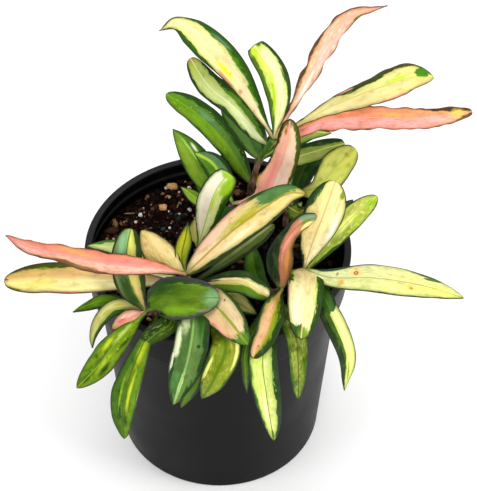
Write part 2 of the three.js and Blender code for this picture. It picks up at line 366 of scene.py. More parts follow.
@dataclass(frozen=True)
class Look:
    """A hoya blade's finish: leathery living tissue under a smooth wax cuticle that grew on it.

    The wax gives the eye soft, uneven highlights, and the pigment under it runs in strokes along
    the blade: a pale heart, ragged green margins with a brighter fringe, and a thin dark edge.
    The margins darken towards the rim, partly their own deeper green and partly painted shade,
    and the dark edge is partly a real dark margin line and partly painted shade.

    left and right are the heart's tones at the stem and at the tip, and streak the tone of the
    strokes in it. green_left and green_right are the margins' tones, outside and inside, and
    edge_left and edge_right how far in the margins reach at even steps from the stem, in
    shares of the half blade. rib, line and fringe are the tones of the midrib, the edge and the
    margins' inner border, with widths in millimetres. ragged, mottle, shade, blotch and specks
    say how strong the margins' tears, the greens' mottling, the heart's painted shadows, the
    clouds and the pale flecks are. The flecks are partly the leaf's silver flecks and partly
    painted glints on its wax.
    """

    left: Tones
    right: Tones
    green_left: Tones = (Tone.DARK_GREEN, Tone.GREEN)
    green_right: Tones = (Tone.DARK_GREEN, Tone.GREEN)
    edge_left: Stations = (0.3,) * 5
    edge_right: Stations = (0.3,) * 5
    rib: str = Tone.RIB
    rib_width: float = 0.35
    line: str = Tone.EDGE
    line_width: float = 0.52
    fringe: str = Tone.FRINGE
    streak: str = ""
    ragged: float = 0.8
    mottle: float = 0.35
    shade: float = 0.4
    blotch: float = 0.3
    specks: float = 0.0
    patches: tuple[Patch, ...] = ()


@dataclass
class BladePaint:
    """Paints one blade's material in its look, layer over layer.

    It reads the blade's attributes: place (across and along in millimetres and the depth in
    from the edge), margins (how far inside the left and right margin, and 1 on the underside)
    and form (share, across and petiole). stroke, fray and cloud are the widths and lengths of
    its noises, which are stretched along the blade as the pigment is, and seed shifts them, so
    that no two blades are alike. half_at gives the blade's half width at a share and a side.
    Sizes are in millimetres.
    """

    name: str
    look: Look
    seed: float
    half_at: HalfWidth
    length: float
    stroke: Pair = (2.2, 9.0)
    fray: Pair = (0.7, 2.6)
    cloud: Pair = (2.4, 4.2)
    flecks_per_mm: float = 0.42
    fleck: Pair = (0.17, 0.05)

    def __post_init__(self) -> None:
        """Starts the material with what it reads, the noises, and jag, the tears of a border in mm."""
        self.made, tree, self.shader = surface(self.name)
        self.tree = tree
        self.place, margins, form = (add(tree, "Attribute", attribute_name=key, out="Vector")
                                     for key in ("place", "margins", "form"))
        self.across, _, self.rim = add(tree, "SeparateXYZ", self.place).node.outputs
        self.left, self.right, self.under = add(tree, "SeparateXYZ", margins).node.outputs
        self.share, _, self.petiole = add(tree, "SeparateXYZ", form).node.outputs
        self.strokes, self.frays, self.clouds = (
            add(tree, "TexNoise", Scale=1.0, Detail=3.0, Roughness=0.55, Vector=add(
                tree, "VectorMath", self.place, (1 / wide, 1 / long, 0), (self.seed,) * 3,
                operation="MULTIPLY_ADD"))
            for wide, long in (self.stroke, self.fray, self.cloud))
        self.stroke_swing, self.fray_swing = (
            add(tree, "Math", grain, 0.5, operation="SUBTRACT") for grain in (self.strokes, self.frays))
        fine = add(tree, "Math", self.fray_swing, 1.2 * self.look.ragged, operation="MULTIPLY")
        self.jag = add(tree, "Math", self.stroke_swing, 4 * self.look.ragged, fine,
                       operation="MULTIPLY_ADD")

    def lay(self, over: Value, *step: Value, blend_type: str = "MIX") -> None:
        """Lays a colour over the colour so far, as layered does."""
        self.colour = layered(self.tree, self.colour, over, *step, blend_type=blend_type)

    def heart(self) -> None:
        """Paints the pale heart, with a soft border from its left to its right half."""
        along = add(self.tree, "Math", self.stroke_swing, 0.5, self.share, operation="MULTIPLY_ADD")
        self.colour, right = (add(self.tree, "Mix", along, *tones, **MIX)
                              for tones in (self.look.left, self.look.right))
        self.lay(right, add(self.tree, "Math", self.across, self.jag, operation="ADD"), -1.0, 1.0)
        self.lay(Tone.SHADOW, self.strokes, 0.62, 0.3, 0, self.look.shade, blend_type="MULTIPLY")
        if self.look.streak:
            self.lay(self.look.streak, self.frays, 0.5, 0.68, 0, 0.7)

    def patches(self, over: bool) -> None:
        """Lays the patches that lie over the margins, or those under them.

        Args:
            over: which of the two.
        """
        for patch in self.look.patches:
            if patch.over == over:
                half = self.half_at(patch.share, patch.across > 0)
                middle = (patch.across * half, patch.share * self.length)
                away = from_oval(self.tree, self.place, middle, (patch.wide, patch.long))
                torn = add(self.tree, "Math", self.fray_swing, 0.8, away, operation="MULTIPLY_ADD")
                self.lay(patch.tone, torn, 1.0, 0.93 * (1 - patch.blur))

    def margins(self) -> None:
        """Lays the mottled green margins, behind their brighter fringe."""
        side = add(self.tree, "MapRange", self.across, -0.2, 0.2, **STEP)
        reach = add(self.tree, "Mix", side, self.left, self.right)
        inside = add(self.tree, "Math", reach, self.jag, operation="ADD")
        self.lay(self.look.fringe, inside, -1.6, 0.1, 0, 0.55)
        # The margins darken towards the rim: partly their own deeper green, partly painted shade
        ragged_rim = add(self.tree, "Math", self.rim, -0.22, self.frays, operation="MULTIPLY_ADD")
        greens = (layered(self.tree, *tones, ragged_rim, 0.4 - self.look.mottle, -0.1)
                  for tones in (self.look.green_left, self.look.green_right))
        self.lay(add(self.tree, "Mix", side, *greens, **MIX), inside, -0.3, 0.3)

    def marks(self) -> None:
        """Adds pale flecks about 0.4 mm across, and dark and pale clouds.

        The flecks are partly the leaf's silver flecks and partly painted glints on its wax.
        """
        if self.look.specks:
            cells = add(self.tree, "TexVoronoi", Vector=self.place, Scale=self.flecks_per_mm)
            # Pale flecks: partly silver flecks, partly painted glints
            self.lay(Tone.FLECK, cells, *self.fleck, 0, self.look.specks)
        self.lay(Tone.DARK_CLOUD, self.clouds, 0.5, 0.72, 0, self.look.blotch, blend_type="MULTIPLY")
        self.lay(Tone.PALE_CLOUD, self.clouds, 0.5, 0.3, 0, self.look.blotch, blend_type="SCREEN")

    def veins(self) -> None:
        """Draws the midrib, turns the stalk to its own tone and makes the underside paler."""
        near = add(self.tree, "Math", self.across, operation="ABSOLUTE")
        self.lay(self.look.rib, near, self.look.rib_width, 0.3 * self.look.rib_width, 0, 0.8)
        self.lay(Tone.STALK, self.petiole, 0.2, 0.9, 0, 0.7)
        under = add(self.tree, "Math", self.under, 0.5, operation="MULTIPLY")
        self.colour = add(self.tree, "Mix", under, self.colour, Tone.UNDERSIDE, **MIX)

    def edge(self) -> None:
        """Draws the dark edge, strongest at the rim and fading over the next millimetre.

        It is partly the blade's own dark margin line and partly painted shade, of the rounded rim
        and of leaves crowding one another.
        """
        width = self.look.line_width
        ragged_rim = add(self.tree, "Math", self.fray_swing, 0.6, self.rim, operation="MULTIPLY_ADD")
        soft = add(self.tree, "MapRange", ragged_rim, 3.6 * width, 0, 0, 0.5, **STEP)
        hard = add(self.tree, "MapRange", ragged_rim, 1.25 * width, 0.55 * width, 0, 0.92, **STEP)
        dark = add(self.tree, "Math", soft, hard, operation="MAXIMUM")
        self.colour = add(self.tree, "Mix", dark, self.colour, self.look.line, **MIX)

    def material(self) -> bpy.types.Material:
        """Paints the layers in their order and returns the material."""
        self.heart()
        self.patches(False)
        self.margins()
        self.patches(True)
        self.marks()
        self.veins()
        self.edge()
        relief = add(self.tree, "Math", self.strokes, self.frays, operation="ADD")
        feed(self.shader, {
            "Base Color": self.colour, "Specular IOR Level": 0.12, "IOR": 1.45,
            "Roughness": add(self.tree, "MapRange", self.frays, 0.3, 0.7, 0.44, 0.58, **STEP),
            "Normal": add(self.tree, "Bump", Strength=0.35, Distance=0.1 * MM, Height=relief)})
        return self.made


@dataclass(frozen=True)
class Leaf:
    """One leaf: where it grows, the points that its midrib passes through, and its form.

    node counts the stem's nodes from the soil. peak is the share of the length where the
    blade is widest, round is 0 for a pointed tip and 1 for a blunt one, heel does the same at
    the stem end, and both may go beyond that. fold lifts both edges, wave ripples them and ruffle
    frets their outline, in millimetres. left and right are factors on each half's width, at even
    steps from the stem.
    """

    node: int
    points: tuple[Place, ...]
    width: float
    face: Place
    look: Look
    peak: float = 0.52
    round: float = 0.15
    heel: float = 0.0
    fold: float = 0.0
    wave: float = 0.0
    left: Stations = (1, 1)
    right: Stations = (1, 1)
    ruffle: float = 0.0


@dataclass(frozen=True)
class Row:
    """A row of points across a blade: its share of the length, middle, directions and half widths."""

    share: float
    centre: Vector
    side: Vector
    up: Vector
    halves: Pair


@dataclass
class Blade:
    """Builds a leaf's blade: a thick slab with rounded edges and a grooved midrib. Millimetres.

    heel_powers and tip_powers shape a pointed and a blunt end. noise_rows, wave_phases and
    ripple_rows are for the left and the right half, whose noises they keep apart. even_rows is
    how evenly the rows are spaced, from 0 for crowded at the tip to 1.
    """

    across: int = 18
    least_rows: int = 26
    rows_per_mm: float = 0.9
    even_rows: float = 0.35
    mid_thickness: float = 1.3
    edge_thickness: float = 0.8
    petiole_thickness: float = 2.1
    petiole_half_width: float = 1.1
    tip_half_width: float = 0.25
    petiole_share: float = 0.14
    heel_powers: Pair = (1.1, 0.4)
    tip_powers: Pair = (0.85, 0.42)
    least_power: float = 0.15
    wobble: float = 0.03
    wobbles: float = 7.0
    noise_rows: Pair = (9.0, 3.0)
    ruffle_length: float = 5.0
    wave_length: float = 14.0
    wave_phases: Pair = (0.0, 2.0)
    ripple: float = 0.35
    ripple_length: float = 9.0
    ripple_rows: Pair = (4.0, 20.0)
    groove: float = 0.16
    groove_half_width: float = 0.5

    def half_width(self, leaf: Leaf, share: float, right: bool) -> float:
        """Measures half the blade.

        Args:
            leaf: the leaf.
            share: the share of the blade's length.
            right: which side of the midrib.

        Returns:
            Half the blade's width there.
        """
        quarter = math.pi / 2
        if share < leaf.peak:
            power = lerp(*self.heel_powers, leaf.heel)
            swell = math.sin(quarter * share / leaf.peak) ** max(power, self.least_power)
            least = self.petiole_half_width
        else:
            rest = (share - leaf.peak) / (1 - leaf.peak)
            power = lerp(*self.tip_powers, leaf.round)
            swell = max(math.cos(quarter * rest), 0.0) ** max(power, self.least_power)
            least = self.tip_half_width
        side = stations(leaf.right if right else leaf.left, share)
        return max(least, leaf.width / 2 * swell * side)

    def row(self, leaf: Leaf, line: Line, step: float) -> Row:
        """Finds a row of the blade. Rows lie closer together towards the tip.

        Args:
            leaf: the leaf.
            line: its midrib.
            step: the row's number from 0 at the stem to 1 at the tip.

        Returns:
            The row.
        """
        share = min(lerp(math.sin(math.pi / 2 * step), step, self.even_rows), 1.0)
        centre, way = line.at(share)
        side = way.cross(Vector(leaf.face).normalized()).normalized()
        halves = (self.half_width(leaf, share, False), self.half_width(leaf, share, True))
        return Row(share, centre, side, side.cross(way), halves)

    def build(self, name: str, leaf: Leaf, root: Vector, seed: float, *nodes: str) -> bpy.types.Object:
        """Makes one leaf.

        Args:
            name: the piece's name.
            leaf: its place and form.
            root: where it leaves the stem.
            seed: shifts its ripples and its pattern.
            nodes: the frame's nodes that it stands for.

        Returns:
            The piece.
        """
        line = Line([root, *(Vector(p) for p in leaf.points)])
        steps = max(self.least_rows, round(line.length * self.rows_per_mm))
        rows = [self.row(leaf, line, i / steps) for i in range(steps + 1)]
        bm = bmesh.new()
        bmesh.ops.create_grid(bm, x_segments=self.across, y_segments=steps, size=1)
        layers = [bm.verts.layers.float_vector.new(key) for key in ("place", "margins", "form")]
        top = set(bm.verts)
        bmesh.ops.extrude_face_region(bm, geom=bm.faces[:])
        for vert in bm.verts:
            row = rows[round((vert.co.y + 1) / 2 * steps)]
            across = math.sin(math.pi / 2 * vert.co.x)
            vert.co, *read = self.point(leaf, line.length, row, across, vert not in top, seed)
            for layer, value in zip(layers, read):
                vert[layer] = value
        paint = BladePaint(f"waxy_hoya_{name}", leaf.look, seed,
                           lambda share, right: self.half_width(leaf, share, right), line.length)
        return finished(name, bm, paint.material(), Slot.LEAVES, *nodes)

    def point(self, leaf: Leaf, length: float, row: Row, across: float, under: bool,
              seed: float) -> tuple[Vector, Vector, Vector, Vector]:
        """Places one point of the slab.

        Args:
            leaf: the leaf.
            length: its length.
            row: the point's row.
            across: its place in the row, from -1 at the left edge to 1 at the right one.
            under: whether it lies on the underside.
            seed: shifts the noises.

        Returns:
            The point in metres, and what its material reads there: place, margins and form.
        """
        half, noise_row = row.halves[across > 0], self.noise_rows[across > 0]
        wobble = 1 + self.wobble * noise.noise(Vector((row.share * self.wobbles, noise_row, seed)))
        fret = leaf.ruffle * noise.noise(Vector((row.share * length / self.ruffle_length, noise_row, seed)))
        middle = 1 - abs(2 * row.share - 1) ** 4
        reach = across * (half * wobble + 2 * fret * across ** 2 * middle)
        petiole = clamped(1 - row.share / self.petiole_share)
        lift = self.lift(leaf, length, row.share, across, half, petiole, seed)
        thick = self.thickness(across, half, petiole)
        at = row.centre + row.side * reach + row.up * (lift + (-thick if under else thick) / 2)
        # A margin on the point's own half is measured from the edge, and one on the other half lies far off
        inside = [stations(edge, row.share) * width - (width - abs(reach) if own else width)
                  for edge, width, own in ((leaf.look.edge_left, row.halves[0], across <= 0),
                                           (leaf.look.edge_right, row.halves[1], across >= 0))]
        return (at * MM, Vector((reach, row.share * length, (1 - abs(across)) * half)),
                Vector((*inside, float(under))), Vector((row.share, across, petiole)))

    def thickness(self, across: float, half: float, petiole: float) -> float:
        """Measures the slab, which is rounded off towards its edge.

        Args:
            across: the place in the row, from -1 to 1.
            half: half the blade's width there.
            petiole: 1 at the stalk's end and 0 on the blade.

        Returns:
            The thickness.
        """
        blade = lerp(self.mid_thickness, self.edge_thickness, across ** 2)
        full = lerp(blade, self.petiole_thickness, petiole)
        rounding = min(0.5 * self.edge_thickness + petiole * half, half)
        inner = min((1 - abs(across)) * half / rounding, 1.0)
        return full * math.sqrt(max(1 - (1 - inner) ** 2, 0.0))

    def lift(self, leaf: Leaf, length: float, share: float, across: float, half: float,
             petiole: float, seed: float) -> float:
        """Raises a place on the blade by its fold, waves, ripples and midrib groove.

        Args:
            leaf: the leaf.
            length: its length.
            share: the place's share of the length.
            across: the place in the row, from -1 to 1.
            half: half the blade's width there.
            petiole: 1 at the stalk's end and 0 on the blade.
            seed: shifts the ripples.

        Returns:
            How far it is raised.
        """
        waves = round(length / self.wave_length)
        wave = leaf.wave * math.sin(2 * math.pi * waves * share + self.wave_phases[across > 0])
        ripple_row = self.ripple_rows[across > 0]
        wave += self.ripple * noise.noise(Vector((share * length / self.ripple_length, ripple_row, seed)))
        groove = self.groove * math.exp(-(across * half / self.groove_half_width) ** 2)
        return leaf.fold * half * across ** 2 + (wave * across ** 2 - groove) * (1 - petiole)


@dataclass(frozen=True)
class LeafyStem:
    """One leafy stem: where it stands in the soil, its nodes from the soil up, and its leaves."""

    ground: Pair
    nodes: tuple[Place, ...]
    leaves: tuple[Leaf, ...]


@dataclass(frozen=True)
class Bark:
    """Young hoya bark, as it grew: brown cork over the green stem, which shows higher up.

    It gives the eye dull, short streaks along the stem, about 1 mm wide and 4 mm long.
    """

    name: str = "young_stem_bark"
    streak: Place = (1.0, 1.0, 4.0)
    cork: Tones = ("#3c2418", "#8c6c58")
    green: Tones = ("#2f5410", "#4c7c18")
    green_from: float = 118.0
    green_to: float = 126.0

    def material(self) -> bpy.types.Material:
        """Makes the bark's material."""
        made, tree, shader = surface(self.name)
        place = add(tree, "TexCoord", out="Object")
        scale = tuple(1 / (size * MM) for size in self.streak)
        stretched = add(tree, "VectorMath", place, scale, operation="MULTIPLY")
        streaks = add(tree, "TexNoise", Vector=stretched, Scale=1.0, Detail=4.0)
        height = add(tree, "SeparateXYZ", place, out="Z")
        bark = (layered(tree, *tones, streaks, 0.35, 0.65) for tones in (self.cork, self.green))
        colour = layered(tree, *bark, height, self.green_from * MM, self.green_to * MM)
        feed(shader, {"Base Color": colour, "Roughness": 0.62,
                      "Normal": add(tree, "Bump", Strength=0.5, Distance=0.25 * MM, Height=streaks)})
        return made


@dataclass
class Stem:
    """Builds the stems: woody tubes that thin upwards and swell where leaves grow. Millimetres."""

    radius: float = 1.5
    sides: int = 14
    buried: float = 16.0
    soil_top: float = 96.0
    straight: float = 4.0
    least_rings: int = 16
    ring_gap: float = 1.5
    foot_share: float = 1.05
    tip_share: float = 0.72
    swelling: float = 0.5
    swelling_reach: float = 2.2
    tip_round: float = 1.0
    least_tip: float = 0.05

    def build(self, name: str, grown: LeafyStem, bark: bpy.types.Material) -> bpy.types.Object:
        """Makes one stem, from its foot in the soil to its last node.

        Args:
            name: the frame's node, which also names the piece.
            grown: where it stands and its nodes.
            bark: its material.

        Returns:
            The piece.
        """
        heights = (self.soil_top - self.buried, self.soil_top, self.soil_top + self.straight)
        nodes = [Vector(node) for node in grown.nodes]
        line = Line([*(Vector((*grown.ground, z)) for z in heights), *nodes])
        bm = bmesh.new()
        ring = bmesh.ops.create_circle(bm, cap_ends=True, segments=self.sides, radius=1)["verts"]
        edges = list({edge for vert in ring for edge in vert.link_edges})
        rings, steps = [ring], max(self.least_rings, round(line.length / self.ring_gap))
        for _ in range(steps):
            made = bmesh.ops.extrude_edge_only(bm, edges=edges)["geom"]
            rings.append([part for part in made if isinstance(part, bmesh.types.BMVert)])
            edges = [part for part in made if isinstance(part, bmesh.types.BMEdge)]
        bmesh.ops.contextual_create(bm, geom=edges)
        for i, ring in enumerate(rings):
            share = i / steps
            centre, way = line.at(share)
            side = way.cross(Vector((1, 0, 0))).normalized()
            front = side.cross(way)
            near = min((centre - node).length for node in nodes)
            swelling = self.swelling * math.exp(-(near / self.swelling_reach) ** 2)
            radius = self.radius * lerp(self.foot_share, self.tip_share, share) + swelling
            past = max(share * line.length - (line.length - self.tip_round), 0)
            radius *= math.sqrt(max(1 - (past / self.tip_round) ** 2, self.least_tip))
            for vert in ring:
                vert.co = (centre + (front * vert.co.x + side * vert.co.y) * radius) * MM
        return finished(name + "_bark", bm, bark, Slot.LEAVES, name)


@dataclass(frozen=True)
class Polypropylene:
    """Black polypropylene, moulded against a finely eroded steel mould.

    It gives the eye a satin sheen, broken by a faint pebbled skin, under clouds of dust. The
    lip's top is painted paler, a painted reflection of the light above it, and a pale ring on
    the inner wall just above the soil is a painted highlight. The real skin is finer than the
    render shows, so its pebbles are drawn about 0.7 mm across.
    """

    name: str = "moulded_polypropylene"
    pebbles_per_metre: float = 1400.0
    cloud: float = 25.0
    tones: Tones = ("#040404", "#09090a")
    # Painted reflection: the lip's top takes this paler tone between these heights
    lip_reflection_tone: str = "#29292b"
    lip_reflection_heights: Pair = (104.0, 104.8)
    # Painted highlight: a pale ring on the inner wall just above the soil, in this tone, between these
    # heights and inside these radii
    ring_highlight_tone: str = "#2c2c2e"
    ring_highlight_bottom: Pair = (96.8, 98.2)
    ring_highlight_top: Pair = (99.6, 98.4)
    ring_highlight_radius: Pair = (52.9, 52.5)

    def material(self) -> bpy.types.Material:
        """Makes the pot's material."""
        made, tree, shader = surface(self.name)
        place = add(tree, "TexCoord", out="Object")
        skin = add(tree, "TexNoise", Vector=place, Scale=self.pebbles_per_metre, Detail=2.0)
        clouds = add(tree, "TexNoise", Vector=place, Scale=1 / (self.cloud * MM), Detail=4.0)
        height = add(tree, "SeparateXYZ", place, out="Z")
        radius = from_oval(tree, place, (0, 0), (1, 1))
        # The mask of the painted highlight ring on the inner wall
        low, high, inner = (
            add(tree, "MapRange", value, *(edge * MM for edge in edges), **STEP) for value, edges in (
                (height, self.ring_highlight_bottom), (height, self.ring_highlight_top), (radius, self.ring_highlight_radius)))
        band = add(tree, "Math", low, high, operation="MULTIPLY")
        ring_highlight = add(tree, "Math", band, inner, operation="MULTIPLY")
        colour = layered(tree, *self.tones, clouds, 0.4, 0.75)
        # Painted reflection: the lip's top is paler
        colour = layered(tree, colour, self.lip_reflection_tone, height, *(edge * MM for edge in self.lip_reflection_heights))
        # Painted highlight: the pale ring on the inner wall
        colour = add(tree, "Mix", ring_highlight, colour, self.ring_highlight_tone, **MIX)
        feed(shader, {"Base Color": colour, "IOR": 1.5, "Specular IOR Level": 0.08,
                      "Roughness": add(tree, "MapRange", clouds, 0.3, 0.7, 0.36, 0.48, **STEP),
                      "Normal": add(tree, "Bump", Strength=0.25, Distance=0.05 * MM, Height=skin)})
        return made


@dataclass
class Pot:
    """The nursery pot: one thin black moulding. Millimetres."""

    height: float = 105.0
    rim_radius: float = 54.0
    base_radius: float = 44.0
    wall: float = 1.2
    band_wall: float = 1.92
    band_bottom: float = 88.5
    band_radius: float = 52.6
    band_step: float = 2.8
    lip_width: float = 3.0
    lip_depth: float = 2.4
    foot_height: float = 3.0
    foot_width: float = 7.0
    hub_radius: float = 12.0
    slope: float = 3.0
    floor_top: float = 5.0
    drain_radius: float = 4.0
    drain_circle: float = 25.0
    drain_depth: float = 20.0
    drain_sides: int = 40
    drains: int = 6
    steps: int = 192
    corner_steps: int = 4
    corner_share: float = 0.4
    corner_hold: float = 0.2

    def profile(self) -> list[Place]:
        """Lists the section's corners, from the middle of the floor's underside round to its top.

        Returns:
            Each corner's radius, height and rounding.
        """
        body_top = self.band_radius - self.band_step
        lip_inner = self.rim_radius - self.lip_width
        lip_bottom = self.height - self.lip_depth
        foot_inner = self.base_radius - self.foot_width
        inner_step = self.band_bottom + self.wall
        return [
            (0, 0, 0), (self.hub_radius, 0, 0.4), (self.hub_radius + self.slope, self.foot_height, 0.6),
            (foot_inner - self.slope, self.foot_height, 0.6), (foot_inner, 0, 0.4),
            (self.base_radius - 0.4, 0, 1.4), (body_top, self.band_bottom, 0.25),
            (self.band_radius, self.band_bottom, 0.5), (self.rim_radius, self.height, 0.7),
            (lip_inner, self.height, 0.6), (lip_inner, lip_bottom, 0.5),
            (self.rim_radius - self.band_wall, lip_bottom - 1, 0.5),
            (self.band_radius - self.wall, inner_step, 0.3), (body_top - self.wall, inner_step, 0.3),
            (self.base_radius - self.wall, self.floor_top, 1.0), (0, self.floor_top, 0),
        ]

    def rounded(self, profile: list[Place]) -> list[Vector]:
        """Rounds a section's corners and holds its flats straight beside them.

        Args:
            profile: each corner's radius, height and rounding.

        Returns:
            The section's points in the XZ plane.
        """
        places = []
        for i, (radius, height, rounding) in enumerate(profile):
            corner = Vector((radius, 0, height))
            if not rounding:
                places.append(corner)
                continue
            before, after = (Vector((profile[j][0], 0, profile[j][1])) - corner for j in (i - 1, i + 1))
            reach = min(rounding, before.length * self.corner_share, after.length * self.corner_share)
            into, out = before.normalized() * reach, after.normalized() * reach
            places.append(corner + into * (1 + self.corner_hold))
            for step in range(self.corner_steps + 1):
                t = step / self.corner_steps
                start, end = (corner + into) * (1 - t) ** 2, (corner + out) * t * t
                places.append(start + corner * 2 * t * (1 - t) + end)
            places.append(corner + out * (1 + self.corner_hold))
        return places

    def drained(self, pot: bpy.types.Object) -> None:
        """Cuts the ring of drain holes through the pot's floor."""
        bm = bmesh.new()
        for i in range(self.drains):
            angle = 2 * math.pi * i / self.drains
            cone = bmesh.ops.create_cone(bm, cap_ends=True, segments=self.drain_sides,
                                         radius1=self.drain_radius * MM, radius2=self.drain_radius * MM,
                                         depth=self.drain_depth * MM)["verts"]
            middle = Vector((math.cos(angle), math.sin(angle), 0)) * self.drain_circle * MM
            bmesh.ops.translate(bm, verts=cone, vec=middle)
        cutter = placed("drains", bm, [])
        cut = pot.modifiers.new("drains", "BOOLEAN")
        cut.object = cutter
        cut.solver = "EXACT"
        applied(pot)
        bpy.data.objects.remove(cutter)

    def build(self) -> None:
        """Makes the pot, with its drain holes cut."""
        bm = turned(self.rounded(self.profile()), self.steps)
        self.drained(finished("nursery_pot", bm, Polypropylene().material(), Slot.POT, "pot"))


@dataclass(frozen=True)
class ClumpShade:
    """The oval part of the bed under the clump, where the clump's shade is painted. Millimetres."""

    x: float = 22.0
    y: float = -8.0
    wide: float = 40.0
    deep: float = 42.0
    # The multiplier of the painted shade
    tone: str = "#605c50"

    def darkened(self, tree: Tree, place: Socket, colour: Socket) -> Socket:
        """Darkens a colour inside the oval, as painted shade.

        Args:
            tree: the tree that the nodes go into.
            place: the place in metres.
            colour: the colour without the painted shade.

        Returns:
            The new colour.
        """
        away = from_oval(tree, place, (self.x * MM, self.y * MM), (self.wide * MM, self.deep * MM))
        return layered(tree, colour, self.tone, away, 1.25, 0.85, blend_type="MULTIPLY")

    def covers(self, x: float, y: float) -> bool:
        """Says whether a place lies in it."""
        return math.hypot((x - self.x) / self.wide, (y - self.y) / self.deep) < 1


CLUMP_SHADE = ClumpShade()


@dataclass(frozen=True)
class PottingMix:
    """Moist peat and bark fines, shredded and sieved.

    They give the eye near black and reddish brown grains of about 1.3 mm, with a rare pale one,
    and no gloss.
    """

    name: str = "moist_potting_mix"
    grains_per_metre: float = 760.0
    peat: str = "#0a0504"
    bark: str = "#2c170f"
    pale: str = "#5c4028"

    def material(self) -> bpy.types.Material:
        """Makes the bed's material."""
        made, tree, shader = surface(self.name)
        place = add(tree, "TexCoord", out="Object")
        depth, cells = add(tree, "TexVoronoi", Vector=place, Scale=self.grains_per_metre).node.outputs[:2]
        tint = add(tree, "SeparateXYZ", cells)
        colour = layered(tree, self.peat, self.bark, tint, 0.5, 0.95)
        colour = layered(tree, colour, self.pale, tint, 0.95, 0.98)
        # Painted shade: the bed is darker under the clump
        feed(shader, {"Base Color": CLUMP_SHADE.darkened(tree, place, colour), "Roughness": 0.9,
                      "Specular IOR Level": 0.05,
                      "Normal": add(tree, "Bump", Strength=0.8, Distance=0.5 * MM, Height=depth,
                                    invert=True)})
        return made


@dataclass(frozen=True)
class Grit:
    """The finish of one kind of loose bits, which are dull and change their tone from bit to bit.

    tones are the usual tone, a second one and a rare one, and hold is how far a tone reaches in
    millimetres. Dark dust and pores run over all of them, finer than the bits.
    """

    name: str
    tones: tuple[str, str, str]
    roughness: float
    hold: float
    pores_per_metre: float = 1500.0
    dust: str = "#1a120d"

    def material(self) -> bpy.types.Material:
        """Makes the bits' material."""
        made, tree, shader = surface(self.name)
        place = add(tree, "TexCoord", out="Object")
        cells = add(tree, "TexVoronoi", Vector=place, Scale=1 / (self.hold * MM), out="Color")
        tint = add(tree, "SeparateXYZ", cells)
        grain = add(tree, "TexNoise", Vector=place, Scale=self.pores_per_metre, Detail=3.0)
        usual, second, rare = self.tones
        colour = layered(tree, layered(tree, usual, second, tint, 0.3, 0.7), rare, tint, 0.8, 0.9)
        colour = layered(tree, colour, self.dust, grain, 0.6, 0.3, 0, 0.45)
        # Painted shade: the bits are darker under the clump
        feed(shader, {"Base Color": CLUMP_SHADE.darkened(tree, place, colour), "Roughness": self.roughness,
                      "Specular IOR Level": 0.1,
                      "Normal": add(tree, "Bump", Strength=0.6, Distance=0.2 * MM, Height=grain)})
        return made


@dataclass(frozen=True)
class Bits:
    """One kind of loose bits on the bed, all in one piece. Millimetres.

    count bits are drawn at random, with radii between the two sizes, and chosen ones lie at
    given places: x, y and radius. form is their size along, across and up, and fineness the
    rough ball's subdivisions. Bits marked dry lie only outside the oval where the clump's
    shade is painted, so that no pale bit shows there.
    """

    name: str
    grit: Grit
    count: int
    sizes: Pair
    form: Place
    fineness: int = 2
    chosen: tuple[Place, ...] = ()
    keep_out_of_shade: bool = False


# The litter on the bed, in the order of its random draws
LITTER = (
    # Crumbs, broken and sieved: rough, matt grains that hide the bed's smooth lumps
    Bits("soil_crumbs", Grit("peat_and_bark_crumbs", ("#0e0503", "#3c160d", "#a07454"), 0.8, 2.0),
         1500, (0.5, 1.5), (1, 0.85, 0.7), 1),
    # Milled pine bark: flat chips whose broken sides show red brown
    Bits("bark_chips", Grit("milled_pine_bark", ("#3c2416", "#5c3a22", "#8c683c"), 0.7, 7.0),
         34, (1.6, 3.6), (1, 0.62, 0.35), chosen=((-30, 14, 3.0), (-24.2, 38.8, 1.5), (-34, 7, 2.0))),
    # Volcanic glass, puffed up by heat: white, chalky crumbs that stand out most
    Bits("perlite", Grit("expanded_perlite", ("#efe9e2", "#dcd3c8", "#c4b8a8"), 0.75, 3.0),
         46, (0.45, 1.0), (1, 0.9, 0.85), keep_out_of_shade=True, chosen=(
             (-32.8, 26.3, 1.1), (-34.7, 22.5, 0.8), (-12.2, 28.9, 0.9), (-32, 30.5, 0.6),
             (-12.9, 43, 1.0), (-43.2, 18.7, 0.6), (-20.4, 18.2, 0.7))),
    # Bark that sun and water bleached: pale, tan chips
    Bits("pale_bark", Grit("weathered_pine_bark", ("#d8a468", "#b8a878", "#c89050"), 0.7, 9.0),
         4, (1.0, 1.8), (1, 0.8, 0.6), chosen=((-23.6, 30, 2.1), (-20.1, 42.5, 2.3), (-21.5, 37, 1.2))),
    # Fertiliser in a sprayed resin coat: round, dark green grains with some gloss
    Bits("fertiliser_grains", Grit("resin_coated_grains", ("#123a33", "#0c2a26", "#1c4c3c"), 0.5, 4.0),
         8, (0.6, 0.9), (1, 1, 0.95), chosen=(
             (-22.9, 17.3, 1.0), (-16.7, 23.1, 1.1), (-16.6, 32.8, 0.9), (-20, 26, 0.8), (-14, 26, 0.9))),
    # Twigs, dried and split: thin, pale, fibrous slivers
    Bits("dry_twigs", Grit("dry_split_twigs", ("#b09c7c", "#8c7450", "#c8b898"), 0.8, 6.0),
         6, (1.0, 1.8), (1.9, 0.24, 0.22), 1, ((-28.7, 19.1, 1.8), (-38, 27, 1.5))),
)


